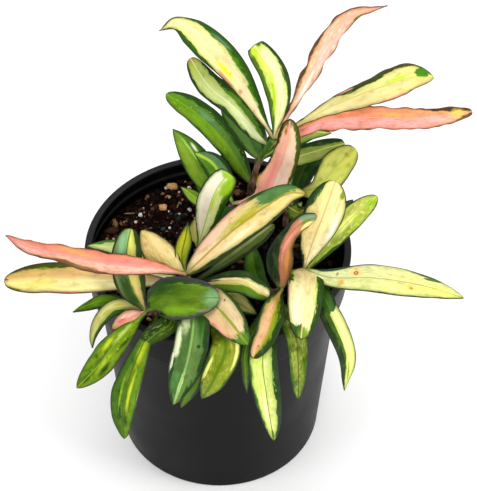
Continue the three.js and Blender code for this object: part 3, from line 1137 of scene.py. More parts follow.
@dataclass
class Soil:
    """The potting mix: a lumpy bed that fills the pot, and the litter on it. Millimetres."""

    top: float = 96.0
    radius: float = 50.9
    ledge: float = 90.1
    ledge_radius: float = 49.2
    ledge_drop: float = 0.4
    floor: float = 5.4
    floor_radius: float = 42.4
    steps: int = 120
    rings: int = 60
    lump: float = 0.7
    fine_lump: float = 0.55
    fine_length: float = 2.6
    clear_of_wall: float = 2.5
    raised: float = 0.35
    roughness: float = 0.55
    rough_scale: float = 1.3
    rough_shift: float = 9.0
    tilt: float = 0.25
    seed: int = 11

    def height(self, x: float, y: float) -> float:
        """Measures the bed's height: the frame's own lumps, with finer ones on them.

        Args:
            x: the place to the viewer's right.
            y: the place away from the viewer.

        Returns:
            The height.
        """
        lumps = math.sin(0.31 * x + 1) * math.cos(0.27 * y) + 0.6 * math.sin(0.7 * y + 0.5 * x)
        fine = noise.fractal(Vector((x, y, 0)) / self.fine_length, 1.0, 2.0, 3)
        return self.top + self.lump * lumps + self.fine_lump * fine

    def build(self) -> None:
        """Makes the bed and all that lies on it."""
        outline = [(self.radius, self.ledge), (self.ledge_radius, self.ledge - self.ledge_drop),
                   (self.floor_radius, self.floor), (0, self.floor)]
        run = [(self.radius * i / self.rings, self.top) for i in range(self.rings + 1)] + outline
        bm = turned([Vector((radius, 0, z)) for radius, z in run], self.steps)
        for vert in bm.verts:
            if vert.co.z > (self.top - 0.1) * MM:
                vert.co.z = self.height(vert.co.x / MM, vert.co.y / MM) * MM
        finished("potting_mix", bm, PottingMix().material(), Slot.SOIL, "soil")
        rng = random.Random(self.seed)
        for bits in LITTER:
            self.scatter(bits, rng)

    def scatter(self, bits: Bits, rng: random.Random) -> bpy.types.Object:
        """Lays one kind of bits on the bed.

        Args:
            bits: the bits.
            rng: the draws.

        Returns:
            The piece.
        """
        spots = []
        for _ in range(bits.count):
            far = (self.radius - self.clear_of_wall) * math.sqrt(rng.random())
            angle = rng.uniform(0, 2 * math.pi)
            size = lerp(*bits.sizes, rng.random() ** 2)
            x, y = far * math.cos(angle), far * math.sin(angle)
            # Marked bits stay out of the oval where the clump's shade is painted
            if not (bits.keep_out_of_shade and CLUMP_SHADE.covers(x, y)):
                spots.append((x, y, size))
        bm = bmesh.new()
        for x, y, size in (*spots, *bits.chosen):
            ball = bmesh.ops.create_icosphere(bm, subdivisions=bits.fineness, radius=size)["verts"]
            turn, tilt, shift = (rng.uniform(-math.pi, math.pi) for _ in range(3))
            cos, sin, lean = math.cos(turn), math.sin(turn), self.tilt * math.sin(tilt)
            centre = Vector((x, y, self.height(x, y) + size * bits.form[2] * self.raised))
            for vert in ball:
                spot = vert.co.normalized() * self.rough_scale + Vector((shift * self.rough_shift, x, y))
                at = vert.co * Vector(bits.form) * (1 + self.roughness * noise.noise(spot))
                at = Vector((at.x * cos - at.y * sin, at.x * sin + at.y * cos, at.z + lean * at.x))
                vert.co = (centre + at) * MM
        return finished(bits.name, bm, bits.grit.material(), Slot.SOIL)


# A leaf deep in the clump, its greens darkened as painted shade
SHADE_DARKENED_LEAF = Look(left=("#26480c", "#305810"), right=("#1f3c0a", "#26480c"), rib="#3c6414", fringe="#26480c",
            green_left=("#182c08", "#26480c"), green_right=("#182c08", "#1f3c0a"))

# Every leafy stem by its node in the frame
STEMS: dict[str, LeafyStem] = {
    "stem_back": LeafyStem((13, 34), ((14, 33, 107), (17, 34, 121), (20.5, 32.5, 129.5), (22.5, 30, 136)),
        (
        Leaf(3, ((5.5, 50.5, 155.5), (-8.5, 59, 165), (-17, 66, 166), (-24, 68, 161)), 14, VIEWER, Look(
            left=("#fbe0b4", "#fbf4a0"), right=("#fbe8b0", "#f9f4a4"), fringe="#c4cc50", rib="#f3d8a8",
            edge_left=(0.1, 0.04, 0.04, 0.06, 0.12, 0.25, 0.45, 0.3, 0.3),
            edge_right=(0.65, 0.68, 0.72, 0.62, 0.52, 0.44, 0.32, 0.26, 0.45),
            patches=(Patch(0.4, -0.9, 9, 0.9, "#ec9c78", 0.4), Patch(0.47, -0.42, 8, 1.9, "#f6ee38", 0.8),
                # Painted highlight: the grey green patch at 0.6 along, on the right margin
                Patch(0.6, 0.7, 7, 1.0, "#5c8060", 0.8), Patch(0.32, -0.55, 1.5, 1.3, "#e08c74", 0.7),
                Patch(0.24, 0.0, 9, 1.5, "#f9d6b4", 0.9, False),
                Patch(0.42, 0.35, 14, 1.2, "#f9d6b8", 0.9, False), Patch(0.99, 0, 3, 3, "#6c4a38", 0.5),
                Patch(0.86, 0.2, 6, 1.8, "#f4f0b0", 0.9))),
            peak=0.66, fold=-0.1, left=(1, 0.95, 0.9, 0.9, 0.92, 0.9, 0.8, 0.62, 0.5),
            right=(1, 1, 1, 1, 1, 1, 0.95, 0.72, 0.55)),
        Leaf(3, ((24.5, 40, 149), (22, 45, 158), (14.5, 50, 168)), 11.2, VIEWER, Look(
            left=("#eef4a0", "#d0e44c"), right=("#fdfcc4", "#f6f8ac"), fringe="#9cc01c", rib="#f4f4b0",
            edge_left=(0.9, 0.6, 0.4, 0.4, 0.45), edge_right=(0.1, 0.14, 0.42, 0.26, 0.25),
            green_left=("#4a6c08", "#8fb41c"), green_right=("#24480c", "#6c9430"),
            patches=(Patch(0.95, -0.1, 2.6, 4.2, "#b4d42c", 0.7),
                Patch(0.45, -0.35, 13, 1.0, "#a8cc14", 0.8), Patch(0.99, 0.5, 1.4, 1.6, "#4a7008", 0.6))),
            peak=0.6, round=1.6, fold=0.1),
        Leaf(3, ((33.5, 43, 150.5), (43, 52, 166), (52, 60, 174), (68, 65, 176)), 8.6, (0.3, -0.7, 0.6),
             Look(
            left=("#e4b084", "#f4ac94"), right=("#fbd0c0", "#f49c8c"), fringe="#d8a464", rib="#f4a488",
            green_left=("#3a4408", "#a09420"), edge_left=(0.6, 0.6, 0.5, 0.4, 0.3, 0.16, 0.08, 0.05, 0.5),
            edge_right=(0.05, 0, 0, 0, 0, 0, 0.1, 0.6, 0.5), green_right=("#6c7014", "#cfc860"),
            line="#6a3c30", streak="#f8d8c0",
            patches=(Patch(0.3, 0.3, 12, 1.4, "#fbead8", 0.9, False),
                Patch(0.99, 0, 4, 2.4, "#4a4a3c", 0.5))),
            peak=0.6, round=-0.6, heel=-0.7, wave=0.7, ruffle=0.55,
            left=(1, 1, 1, 1, 1, 1, 0.85, 0.8, 1)),
        Leaf(3, ((45.5, 40.5, 143.5), (63.5, 43.5, 150.5), (78.5, 49, 152), (87.5, 50.5, 150.5)), 12.8,
             (0, -0.6, 0.8), Look(
            left=("#e8d8a0", "#e0d884"), right=("#ecd8a4", "#e4d084"), rib="#b4c048", fringe="#c4cc54",
            edge_left=(0.1, 0.15, 0.12, 0.1, 0.6, 0.42, 0.3, 0.2, 0.3),
            edge_right=(0.1, 0, 0, 0, 0, 0, 0, 0.05, 0.1), green_left=("#26400c", "#4f7c34"),
            line="#5c3c30",
            patches=(Patch(0.93, -0.4, 3.4, 2.2, "#3c7c14", 0.2),
                Patch(0.78, -0.15, 9, 1.2, "#bcdc34", 0.8), Patch(0.47, -0.92, 5, 0.9, "#f0a890", 0.5),
                Patch(0.75, 0.94, 12, 0.7, "#f4a888", 0.5))),
            peak=0.72, round=0.5, heel=-1.2, wave=0.3, ruffle=0.2,
            left=(1, 1, 1, 0.95, 0.85, 0.78, 0.98, 1.2, 1.4)),
        Leaf(2, ((6.5, 40.5, 143.5), (-3.5, 49, 147), (-11.5, 60, 153)), 13, VIEWER, Look(
            left=("#e0eaba", "#b8c45c"), right=("#d4dea4", "#b0bc58"), rib="#d8e4ac", fringe="#8ca83c",
            edge_left=(0.12, 0.14, 0.2, 0.4, 0.4, 0.25, 0.2, 0.2, 0.2),
            edge_right=(1.0, 0.95, 0.85, 0.75, 0.65, 0.5, 0.35, 0.25, 0.2),
            green_left=("#1f3c0c", "#5c8430"), green_right=("#1c380c", "#4c7810"),
            patches=(Patch(0.9, -0.2, 6, 2.0, "#b8c84c", 0.9), Patch(0.98, 0, 2.6, 2.6, "#b49838", 0.8))),
            peak=0.42, round=1.0, heel=0.43, fold=0.12,
            left=(1, 0.9, 0.78, 0.7, 0.68, 0.74, 0.88, 1, 1.1)),
        Leaf(2, ((39.5, 36.5, 138.5), (58.5, 37, 141), (83, 36.5, 141), (103.5, 43, 139)), 9.4,
             (0, -0.7, 0.7), Look(
            left=("#e88464", "#e8986c"), right=("#f09898", "#f0a89c"), fringe="#dc9440", rib="#f8a088",
            green_left=("#332c04", "#84701c"), line="#6a3034", line_width=0.4, streak="#f07464",
            edge_left=(0.9, 0.8, 0.6, 0.2, 0.06, 0.05, 0.1, 0.5, 0.7),
            edge_right=(0.1, 0, 0, 0, 0, 0, 0.05, 0.2, 0.6), green_right=("#5c5010", "#c0a040"),
            patches=(Patch(0.92, -0.1, 5, 2.6, "#d8b848", 0.8), Patch(0.62, -0.3, 14, 1.4, "#f4a45c", 0.9),
                Patch(0.3, -0.1, 12, 1.3, "#fb8c70", 0.9), Patch(0.99, 0, 1.6, 4, "#5c5820", 0.4))),
            peak=0.5, round=1.2, heel=0.7, wave=0.6, ruffle=0.6),
        Leaf(1, ((10, 39, 132), (1, 49, 136)), 9, VIEWER, Look(
            left=("#6c944c", "#4c7830"), right=("#4c7434", "#406828"), rib="#5c8c34", fringe="#406c20",
            green_left=("#26440c", "#4c7c24"), green_right=("#26440c", "#3c6420")),
            fold=0.1, heel=0.8, right=(1.6, 1.4, 1.2, 1, 1)),
        Leaf(1, ((36.5, 38.5, 131.5), (46.5, 40.5, 129.5)), 8, VIEWER, Look(
            left=("#4f7c1c", "#6c942c"), right=("#86a83c", "#98b050"), fringe="#5c8420",
            edge_left=(0.6, 0.6, 0.7, 0.7, 0.6), edge_right=(0.2, 0.2, 0.2, 0.2, 0.3))),
        Leaf(1, ((26, 44, 124), (38, 57, 120)), 9, UP, SHADE_DARKENED_LEAF, round=0.3, heel=0.8),
        Leaf(0, ((3, 44.5, 120.5), (-10, 53, 130), (-22, 61, 133)), 12.6, VIEWER, Look(
            # Painted sheen, partly: the right half's bluish green is a sheen over the leaf's own green
            left=("#74a018", "#7cac14"), right=("#588438", "#648c2c"), rib="#7cac20", mottle=0.3,
            fringe="#608c20", green_left=("#3c6c08", "#6c9c18"), green_right=("#264c10", "#3c6c2c"),
            specks=0.8, edge_left=(0.2, 0.15, 0.12, 0.12, 0.25), edge_right=(0.6, 0.5, 0.45, 0.4, 0.3),
            # Painted sheen: the grey green patch at 0.62 along
            patches=(Patch(0.62, 0.25, 9, 2.0, "#6c9c60", 0.9), Patch(0.45, -0.1, 16, 1.6, "#7cac14", 0.9),
                Patch(0.85, 0.1, 9, 2.6, "#5c9010", 0.9))),
            peak=0.6, round=0.9, heel=0.65, fold=-0.12,
            left=(1, 1, 0.95, 0.85, 0.8, 0.76, 0.76, 0.85, 0.95)),
        Leaf(0, ((7.5, 44.5, 110.5), (4, 55.5, 111.5)), 8, UP, SHADE_DARKENED_LEAF, round=0.3),
    )),
    "stem_middle": LeafyStem((4, 22), ((4, 22, 102), (6, 22, 107)), (
        Leaf(1, ((19, 18, 115), (24.3, 22, 126), (27.2, 21.5, 138.5), (28.5, 20.5, 154.5)), 13.2,
             (0, -0.7, 0.8), Look(
            left=("#ffa898", "#ffb89c"), right=("#ffccbc", "#ffe0c0"), fringe="#f0c890", rib="#f8a89c",
            shade=0.1, blotch=0.15, green_left=("#3a3c0c", "#c08c34"), green_right=("#4c5c14", "#d0c470"),
            line="#26200c", line_width=0.36, rib_width=0.5,
            edge_left=(0.5, 0.3, 0.1, 0.1, 0.1, 0.12, 0.15, 0.3, 0.6),
            edge_right=(0, 0, 0, 0.03, 0.12, 0.22, 0.3, 0.36, 0.5),
            patches=(Patch(0.99, -0.2, 5, 4, "#6c601c", 0.8), Patch(0.82, 0.1, 7, 1.6, "#f0c890", 0.9),
                Patch(0.45, -0.3, 15, 1.6, "#fc9488", 1.0), Patch(0.3, 0.2, 9, 2.2, "#ffd4c8", 0.9),
                Patch(0.9, -0.3, 4, 1.0, "#a86c2c", 0.8), Patch(0.36, -0.93, 9, 0.9, "#e8b048", 0.6))),
            peak=0.5, round=1.05, fold=-0.02, left=(0.6, 1.0, 1.28, 1.15, 0.78, 0.72, 0.72, 0.85, 1),
            right=(0.5, 0.75, 0.98, 1, 1)),
        Leaf(1, ((-2, 34, 118), (-10, 38, 121)), 10, VIEWER, Look(
            left=("#4c7c18", "#608c28"), right=("#5c8458", "#6c9468"), rib="#b4dc3c", rib_width=0.9,
            fringe="#5c8c20", green_left=("#2f5c0c", "#5c940c"), green_right=("#26481c", "#3c6c34")),
            fold=0.15),
        Leaf(0, ((-12, 41, 119), (-19, 48, 125)), 12, VIEWER, Look(
            # Painted shade: the right half is darker than the left
            left=("#6c9410", "#8cac30"), right=("#34580c", "#4c7814"), rib="#6ca41c", fringe="#5c900c",
            edge_left=(0.2, 0.15, 0.1, 0.1, 0.2), edge_right=(0.3, 0.3, 0.25, 0.2, 0.2), specks=0.6,
            green_left=("#3c6c0c", "#6ca414"),
            patches=(Patch(0.75, 0.1, 9, 1.0, "#a4cc5c", 0.8),
                # Painted highlight: the pale patch at 0.72 along, on the right
                Patch(0.72, 0.5, 3.4, 0.8, "#dce8b4", 0.6))),
            fold=0.08),
        Leaf(0, ((-4, 29, 107), (-11, 36, 112)), 7, VIEWER, Look(
            left=("#a8cc24", "#d8e850"), right=("#94bc1c", "#b4d434"), edge_left=(0.2,) * 5,
            edge_right=(0.2,) * 5),
            fold=0.2),
        Leaf(0, ((-8, 29, 102), (-16, 35, 104)), 7, UP, Look(
            left=("#8cc01c", "#a8d048"), right=("#5c940c", "#78ac1c"), rib="#b8dc5c", edge_left=(0.12,) * 5,
            green_left=("#5c8c3c", "#b4d484")),
            fold=0.2),
    )),
    "stem_centre": LeafyStem((-9, -2), ((-8, 1, 103),), (
        Leaf(0, ((-4.5, 4.5, 116.5), (-1, 5.5, 129.5), (4.5, 7.5, 138.5)), 11.8, (0.05, -0.7, 0.8), Look(
            left=("#ffecd0", "#fff8e0"), right=("#f4f8b0", "#dcee84"), rib="#b4cc3c", rib_width=0.4,
            shade=0.1, blotch=0.15, edge_left=(0.05, 0.05, 0.05, 0.1, 0.25),
            edge_right=(0.3, 0.3, 0.34, 0.42, 0.6), fringe="#cce468", green_left=("#4c5c3c", "#8cb838"),
            green_right=("#345c0c", "#8cbc1c"), streak="#fdfde4",
            patches=(Patch(0.86, 0.5, 8, 3.2, "#9cc824", 0.6), Patch(0.97, 0.0, 2.4, 4, "#a4d03c", 0.7),
                Patch(0.62, 0.12, 9, 0.6, "#cfe44c", 0.5))),
            peak=0.62, round=1.5, fold=0.02, right=(1, 1, 1, 1.1, 1.15)),
        Leaf(0, ((-9.5, 4, 107.5), (-8.5, 7.5, 113.5)), 5, VIEWER, Look(
            left=("#dcc47c", "#dcd470"), right=("#e0dc6c", "#c4c850"), edge_left=(0.1,) * 5,
            edge_right=(0.2,) * 5, green_right=("#4c5c14", "#8c9c2c")),
            round=0.6, fold=0.2),
        Leaf(0, ((1, 9, 110), (9, 14, 113)), 9, VIEWER, Look(
            left=("#26500c", "#1f440c"), right=("#1f440c", "#18380c"), rib="#3c6c1c", fringe="#26500c")),
    )),
    "stem_front": LeafyStem((-9, -24), ((-9, -27, 107), (-10, -29, 113), (-12, -30, 120)), (
        Leaf(2, ((-23.5, -33.5, 127.5), (-44, -34.5, 131.5), (-59, -34, 136), (-71, -28, 133),
             (-81, -20, 131)), 9, (0, -0.6, 1), Look(
            left=("#e8bca8", "#eeaa98"), right=("#ea7e70", "#ea9074"), fringe="#c88c58", rib="#f48c84",
            rib_width=0.5, edge_left=(0.1, 0, 0, 0, 0.4, 0.3, 0.05, 0, 0),
            edge_right=(0.1, 0, 0, 0, 0, 0, 0, 0, 0.1), line="#5c2c24", green_left=("#6c5430", "#a89464"),
            line_width=0.4, streak="#f87c6c",
            patches=(Patch(0.58, 0.45, 10, 1.5, "#f49858", 0.8), Patch(0.32, 0.1, 14, 1.3, "#fb8078", 0.9),
                Patch(0.84, -0.2, 10, 1.8, "#f4b0a4", 0.9), Patch(0.56, -0.85, 7, 0.9, "#84683c", 0.7))),
            peak=0.5, heel=0.3, wave=0.6, ruffle=0.3, left=(1, 1, 1, 1, 1, 0.8, 0.85, 1.1, 1.2),
            right=(1, 1, 1, 1, 0.95, 0.8, 0.9, 1.1, 1.2)),
        Leaf(2, ((5.5, -20, 133), (20, -11.5, 139.5), (27.5, -7, 141), (34.5, -6, 140)), 13.6,
             (-0.1, -0.6, 0.8), Look(
            left=("#eccca4", "#c8c048"), right=("#f0cc9c", "#dcc46c"), rib="#94841c", rib_width=0.6,
            fringe="#8c9030", edge_left=(0, 0, 0, 0, 0, 0.1, 0.3, 0.3, 0.2),
            edge_right=(0.6, 0.48, 0.34, 0.22, 0.15, 0.13, 0.14, 0.12, 0.1), ragged=0.6, streak="#f0cca4",
            green_right=("#1c340c", "#4c6c20"),
            patches=(Patch(0.3, -0.6, 13, 2.6, "#f4bca0", 0.8), Patch(0.45, -0.93, 17, 1.3, "#f0a898", 0.7),
                Patch(0.55, -0.15, 18, 2.6, "#a8a42c", 0.8), Patch(0.45, 0.45, 14, 1.6, "#f6dca8", 0.9),
                # Painted reflection: the bluish green patch at 0.8 along
                Patch(0.8, -0.55, 9.5, 3.3, "#4c783c", 0.15),
                Patch(0.72, -0.95, 10, 1.0, "#24481c", 0.5))),
            peak=0.58, round=0.4, heel=0.85, fold=-0.08),
        Leaf(2, ((-22.5, -24.5, 127.5), (-29, -18.5, 132.5)), 12.4, VIEWER, Look(
            left=("#c4b464", "#e4c078"), right=("#d8cc84", "#e8c888"), fringe="#b4ac54", rib="#d4c478",
            edge_left=(0.1, 0.1, 0.05, 0.05, 0.1), edge_right=(0.06, 0.06, 0.05, 0.08, 0.3),
            green_right=("#2f400c", "#7c8834"), streak="#f6cf9c"),
            round=0.5, right=(1, 0.9, 0.85, 0.85, 0.9)),
        Leaf(2, ((-13.5, -25, 125), (-12, -21, 131), (-11, -19, 137)), 6, VIEWER, Look(
            left=("#8c9814", "#c8c024"), right=("#84900f", "#b8b824"), rib="#3c4c0c", fringe="#84900f",
            edge_left=(0.15,) * 5, edge_right=(0.2,) * 5, green_left=("#3c4c0c", "#8c981c")),
            fold=0.5),
        Leaf(1, ((10, -35, 121), (15.5, -36, 118), (20, -37.5, 115.5)), 9.6, (0, -0.4, 1), Look(
            left=("#c8b068", "#f0dcac"), right=("#c4ac60", "#ecd890"), rib="#c8ac68", fringe="#7c942c",
            mottle=0.5, edge_left=(1.1, 1.0, 0.82, 0.6, 0.3), edge_right=(0.6, 0.62, 0.66, 0.72, 0.75),
            ragged=0.7, green_left=("#1c3808", "#3c6c10"), green_right=("#4c7008", "#84a81c"),
            patches=(Patch(0.5, -0.2, 9, 0.6, "#e8c898", 0.6),)),
            peak=0.65, round=1.2),
        Leaf(1, ((3, -47.5, 116.5), (12, -57, 110)), 13.8, (-0.3, -0.6, 0.8), Look(
            left=("#d4c488", "#e0c8a0"), right=("#c8c478", "#dcb48c"), rib="#8c8c30", rib_width=0.45,
            streak="#eca888", edge_left=(0.1, 0.14, 0.16, 0.2, 0.55),
            edge_right=(0.2, 0.12, 0.06, 0.1, 0.5), fringe="#b8986c",
            patches=(Patch(0.99, 0.05, 6, 4.2, "#4c7c1c", 0.2), Patch(0.7, 0.0, 13, 0.9, "#8c9c34", 0.6),
                Patch(0.7, 0.75, 10, 1.2, "#f4a890", 0.7), Patch(0.52, -0.6, 0.6, 0.6, "#7c6c5c", 0.4))),
            fold=0.1, round=0.6),
        Leaf(1, ((-34, -28, 115), (-53, -33, 121), (-68, -31.5, 119.5), (-82, -31, 117)), 12.4,
             (0, -0.6, 1), Look(
            left=("#fdf6c4", "#f6e088"), right=("#ecc898", "#d8b060"), fringe="#a8a03c", rib="#e4c890",
            edge_left=(0.1, 0, 0, 0, 0, 0, 0.05, 0.1, 0.3),
            edge_right=(0.1, 0.05, 0.1, 0.2, 0.3, 0.3, 0.4, 0.3, 0.3), line="#3c2c14",
            green_left=("#6c6c1c", "#b4ac4c"), green_right=("#3c4c08", "#94902c"),
            patches=(Patch(0.8, -0.3, 10, 3, "#f4e070", 0.9), Patch(0.99, 0.1, 1.6, 0.9, "#6c3c20", 0.5),
                Patch(0.6, -0.95, 16, 0.6, "#e08c70", 0.5))),
            peak=0.72, round=1.0, left=(1, 1, 1, 1, 1, 1, 0.95, 1.05, 1.1)),
        Leaf(1, ((9.5, -15, 118), (22.5, -5.5, 122.5)), 6.4, VIEWER, Look(
            # Both halves start near black at the stem: a painted shadow of the leaf that overhangs it
            left=("#182808", "#98a464"), right=("#182808", "#54642c"), edge_left=(0.15,) * 5, rib="#3c4c18",
            edge_right=(0.5,) * 5, green_right=("#1c300a", "#3c5818"), fringe="#5c6c2c"),
            peak=0.75, round=0.9, heel=-0.3),
        Leaf(0, ((-31, -16, 112), (-41, -14.5, 119), (-51, -14, 119)), 9, UP, Look(
            left=("#f3f6c8", "#dceca4"), right=("#e4eeac", "#b8d884"), edge_left=(0.1,) * 5,
            edge_right=(0.3, 0.4, 0.45, 0.5, 0.6), green_right=("#4c7c34", "#86b45c")),
            round=0.4),
        Leaf(0, ((-9, -53, 113), (-11, -58, 102.5), (-13.5, -58.7, 91.7), (-17, -60.2, 78.2)), 13.4,
             (0, -1, 0.5), Look(
            left=("#547438", "#648440"), right=("#3c6024", "#4c7034"), rib="#84ac58", rib_width=0.6,
            mottle=0.5, edge_left=(0.3,) * 5, edge_right=(0.25,) * 5, green_left=("#1f3c10", "#40682c"),
            green_right=("#1f3c10", "#3c6424"), fringe="#40702c", ragged=1.2,
            patches=(Patch(0.34, 0.45, 9, 2.2, "#b0bc88", 0.6), Patch(0.5, 0.74, 9, 1.6, "#ccd4a8", 0.5),
                Patch(0.64, 0.92, 8, 0.9, "#e4e8c0", 0.4), Patch(0.5, -0.45, 0.9, 0.9, "#1c4408", 0.3),
                Patch(0.8, 0.5, 9, 2.0, "#4c7c38", 0.6), Patch(0.35, -0.5, 10, 2.4, "#2f5c14", 0.8),
                Patch(0.82, 0.0, 11, 0.8, "#cfe898", 0.5))),
            peak=0.56, round=0.5, heel=0.85, fold=0.08),
        Leaf(0, ((-7.5, -53.3, 106.2), (-9, -56.5, 90.7), (-14.5, -54, 68.2)), 9.5, OUT, Look(
            left=("#4c6c08", "#5c7c0c"), right=("#3c5c08", "#4c6c0c"), rib="#5c7c10", fringe="#3c5c0c",
            green_left=("#1c300a", "#3c5c0c"), green_right=("#1c300a", "#3c5c0c")),
            round=0.3),
        Leaf(0, ((3.5, -55.5, 108.5), (-0.5, -62, 98), (-6, -57.5, 78.5)), 12, (-0.1, -1, 0.5), Look(
            left=("#7c8420", "#8c9428"), right=("#6c780c", "#7c8818"), rib="#506804", rib_width=0.8,
            fringe="#7c8c18", blotch=0.45, edge_left=(0.2, 0.15, 0.1, 0.15, 0.3),
            edge_right=(0.1, 0.1, 0.12, 0.2, 0.3), streak="#b8c43c",
            patches=(Patch(0.55, 0.05, 20, 2.8, "#6c840c", 0.6), Patch(0.78, -0.1, 8, 2.6, "#748c08", 0.7),
                Patch(0.36, 0.1, 10, 3.6, "#4c6408", 0.7), Patch(0.96, 0.1, 4, 2.2, "#64800c", 0.4),
                Patch(0.5, -0.75, 9, 0.9, "#e4e480", 0.5), Patch(0.66, 0.72, 8, 0.8, "#d8dc70", 0.5))),
            peak=0.5, round=0.3),
        Leaf(0, ((3, -32, 109), (15.5, -39.5, 107.5)), 9.5, (0, -0.5, 0.9), Look(
            left=("#a8a854", "#c8c478"), right=("#b0b058", "#ccc87c"), rib="#84883c", fringe="#84903c",
            blotch=0.5, edge_left=(0.5, 0.35, 0.2, 0.15, 0.15), green_left=("#3c540c", "#6c8424"))),
    )),
    "stem_left": LeafyStem((-20, -33), ((-23, -37, 105), (-27, -41, 111)), (
        Leaf(1, ((-21, -42, 119), (-11.5, -43.5, 121.5), (1.1, -42, 120)), 16.4, VIEWER, Look(
            left=("#406204", "#506c0c"), right=("#4f7004", "#54740c"), rib="#4c700c", rib_width=0.3,
            edge_left=(0.5, 0.45, 0.35, 0.25, 0.25), edge_right=(0.25, 0.2, 0.2, 0.2, 0.3), line="#3c3440",
            line_width=0.8, green_left=("#1a3606", "#446c08"), green_right=("#30540c", "#608430"),
            fringe="#5c8810", ragged=1.4, mottle=0.5,
            # Painted sheen: the pale grey green patch near the tip
            patches=(Patch(0.93, 0.05, 6, 5, "#78a068", 0.9), Patch(0.5, 0.55, 13, 2.6, "#6c940c", 0.9),
                Patch(0.86, 0.85, 5, 0.9, "#7c7c58", 0.5), Patch(0.35, -0.5, 9, 3.4, "#244604", 0.9))),
            peak=0.5, round=1, heel=1, left=(0.25, 0.5, 0.85, 1, 1, 1, 1, 1, 1),
            right=(0.2, 0.45, 0.9, 1, 1.02, 1.02, 1, 1, 1)),
        Leaf(1, ((-32.5, -36.5, 119.5), (-34.5, -27.5, 127.5), (-33, -19, 134)), 13.2, (-0.1, -0.9, 0.6),
             Look(
            left=("#2c4808", "#709c64"), right=("#d0ac70", "#d8e064"), fringe="#94844c", rib="#345818",
            blotch=0.15, edge_left=(0.15,) * 5, edge_right=(0.5, 0.4, 0.35, 0.4, 0.55), ragged=0.4,
            green_left=("#1c3808", "#5c8c4c"), green_right=("#26400c", "#5c8430"),
            patches=(Patch(0.25, -0.4, 13, 3.4, "#26440a", 0.7),
                # Painted sheen: the pale bluish green patch towards the tip on the left
                Patch(0.78, -0.4, 8, 2.2, "#84b484", 0.9))),
            peak=0.47, round=1.1, heel=0.2, fold=0.15, left=(0.9, 0.86, 0.9, 0.97, 1)),
        Leaf(1, ((-39, -55.5, 107.5), (-44.5, -57, 99), (-54, -60, 88)), 10.4, (-0.3, -0.8, 0.7), Look(
            left=("#6c8800", "#4c6c00"), right=("#5c7a00", "#406000"), mottle=0.7, ragged=1.8,
            fringe="#8ca408", blotch=0.7, green_left=("#2c4c04", "#6c8c04"),
            green_right=("#244404", "#5c8000"), rib="#7ca41c", edge_left=(0.4, 0.5, 0.6, 0.6, 0.5),
            edge_right=(0.3, 0.4, 0.5, 0.6, 0.5), specks=0.7,
            patches=(Patch(0.3, 0.2, 9, 1.2, "#a8bc54", 0.8), Patch(0.6, -0.2, 8, 1.5, "#a0bc20", 0.9),
                Patch(0.8, 0.4, 6, 1.6, "#5c8808", 0.8), Patch(0.45, 0.45, 5, 1.4, "#b0c41c", 0.8),
                Patch(0.66, -0.55, 6, 1.5, "#244004", 0.8), Patch(0.88, 0.0, 4, 2.0, "#2c4c06", 0.8),
                Patch(0.35, -0.6, 6, 1.1, "#304c06", 0.8))),
            peak=0.58, round=0.5, fold=0.08),
        Leaf(0, ((-43.5, -34, 109), (-50.5, -35, 107.2), (-56, -36, 105)), 6.4, UP, Look(
            left=("#5c8410", "#4f7c08"), right=("#64901c", "#5c8c10"), rib="#6ca014", fringe="#5c8810",
            blotch=0.6)),
        Leaf(0, ((-38.5, -40, 112), (-44.5, -43, 108), (-47.5, -47, 103), (-48, -50, 100)), 6.6,
             (-0.4, -0.5, 0.9), Look(
            left=("#a8ac58", "#c4c478"), right=("#c8c478", "#d8d488"), fringe="#8c903c", rib="#bcbc68",
            edge_left=(0.8, 0.75, 0.6, 0.4, 0.4), edge_right=(0.15, 0.12, 0.1, 0.1, 0.2),
            patches=(Patch(0.6, 0.0, 2.6, 1.1, "#a8a428", 0.8), Patch(0.45, 0.3, 3, 0.9, "#b8b440", 0.9))),
            fold=0.3),
        Leaf(1, ((-34.5, -45.5, 111.5), (-40, -48, 109)), 6.6, VIEWER, Look(
            left=("#dc8c80", "#d0ac68"), right=("#e8a898", "#dcac84"), fringe="#b88464", rib="#d87c74",
            edge_left=(0.1, 0.1, 0.1, 0.2, 0.4), edge_right=(0.05,) * 5, line="#3c2818", streak="#f8ccb8",
            green_left=("#4c5014", "#a8a04c"),
            patches=(Patch(0.68, 0.1, 2.6, 1.2, "#d85c64", 0.7),
                Patch(0.95, 0, 1.6, 2.4, "#b4b458", 0.7))),
            round=0.6),
        Leaf(0, ((-17.5, -46, 110), (-24.5, -50.5, 107.5), (-32, -54.5, 102.5)), 8.6, (0.2, -0.7, 0.8),
             Look(
            left=("#2c4604", "#446404"), right=("#1c3004", "#243c04"), specks=0.3, mottle=0.6, ragged=1.6,
            blotch=0.2, rib="#5c8410", fringe="#2c4404", streak="#84a034", edge_left=(0.2,) * 5,
            edge_right=(0.2,) * 5, green_left=("#101f02", "#2f4c08"), green_right=("#101c02", "#243c04")),
            left=(1, 1, 0.85, 0.8, 0.9)),
        Leaf(0, ((-29, -55, 105), (-34.5, -60, 90), (-37, -62, 75), (-37, -63, 60)), 10.8, (-0.2, -1, 0.3),
             Look(
            left=("#708c04", "#507004"), right=("#5c8004", "#406004"), rib="#3f6008", rib_width=0.4,
            mottle=0.6, blotch=0.5, edge_left=(0.35, 0.3, 0.35, 0.5, 0.7),
            edge_right=(0.8, 0.72, 0.66, 0.75, 0.85), fringe="#5c800c", ragged=1.2,
            green_right=("#1c3806", "#3c640a"), green_left=("#385c0c", "#648c0c"),
            patches=(Patch(0.6, -0.3, 18, 0.9, "#b8cc28", 0.9), Patch(0.5, -0.97, 22, 0.3, "#b8c4a0", 0.4),
                Patch(0.3, -0.2, 9, 1.7, "#a8bc1c", 0.9), Patch(0.82, -0.3, 7, 1.4, "#2c4c08", 0.9),
                Patch(0.62, 0.3, 12, 0.6, "#7cac1c", 0.8))),
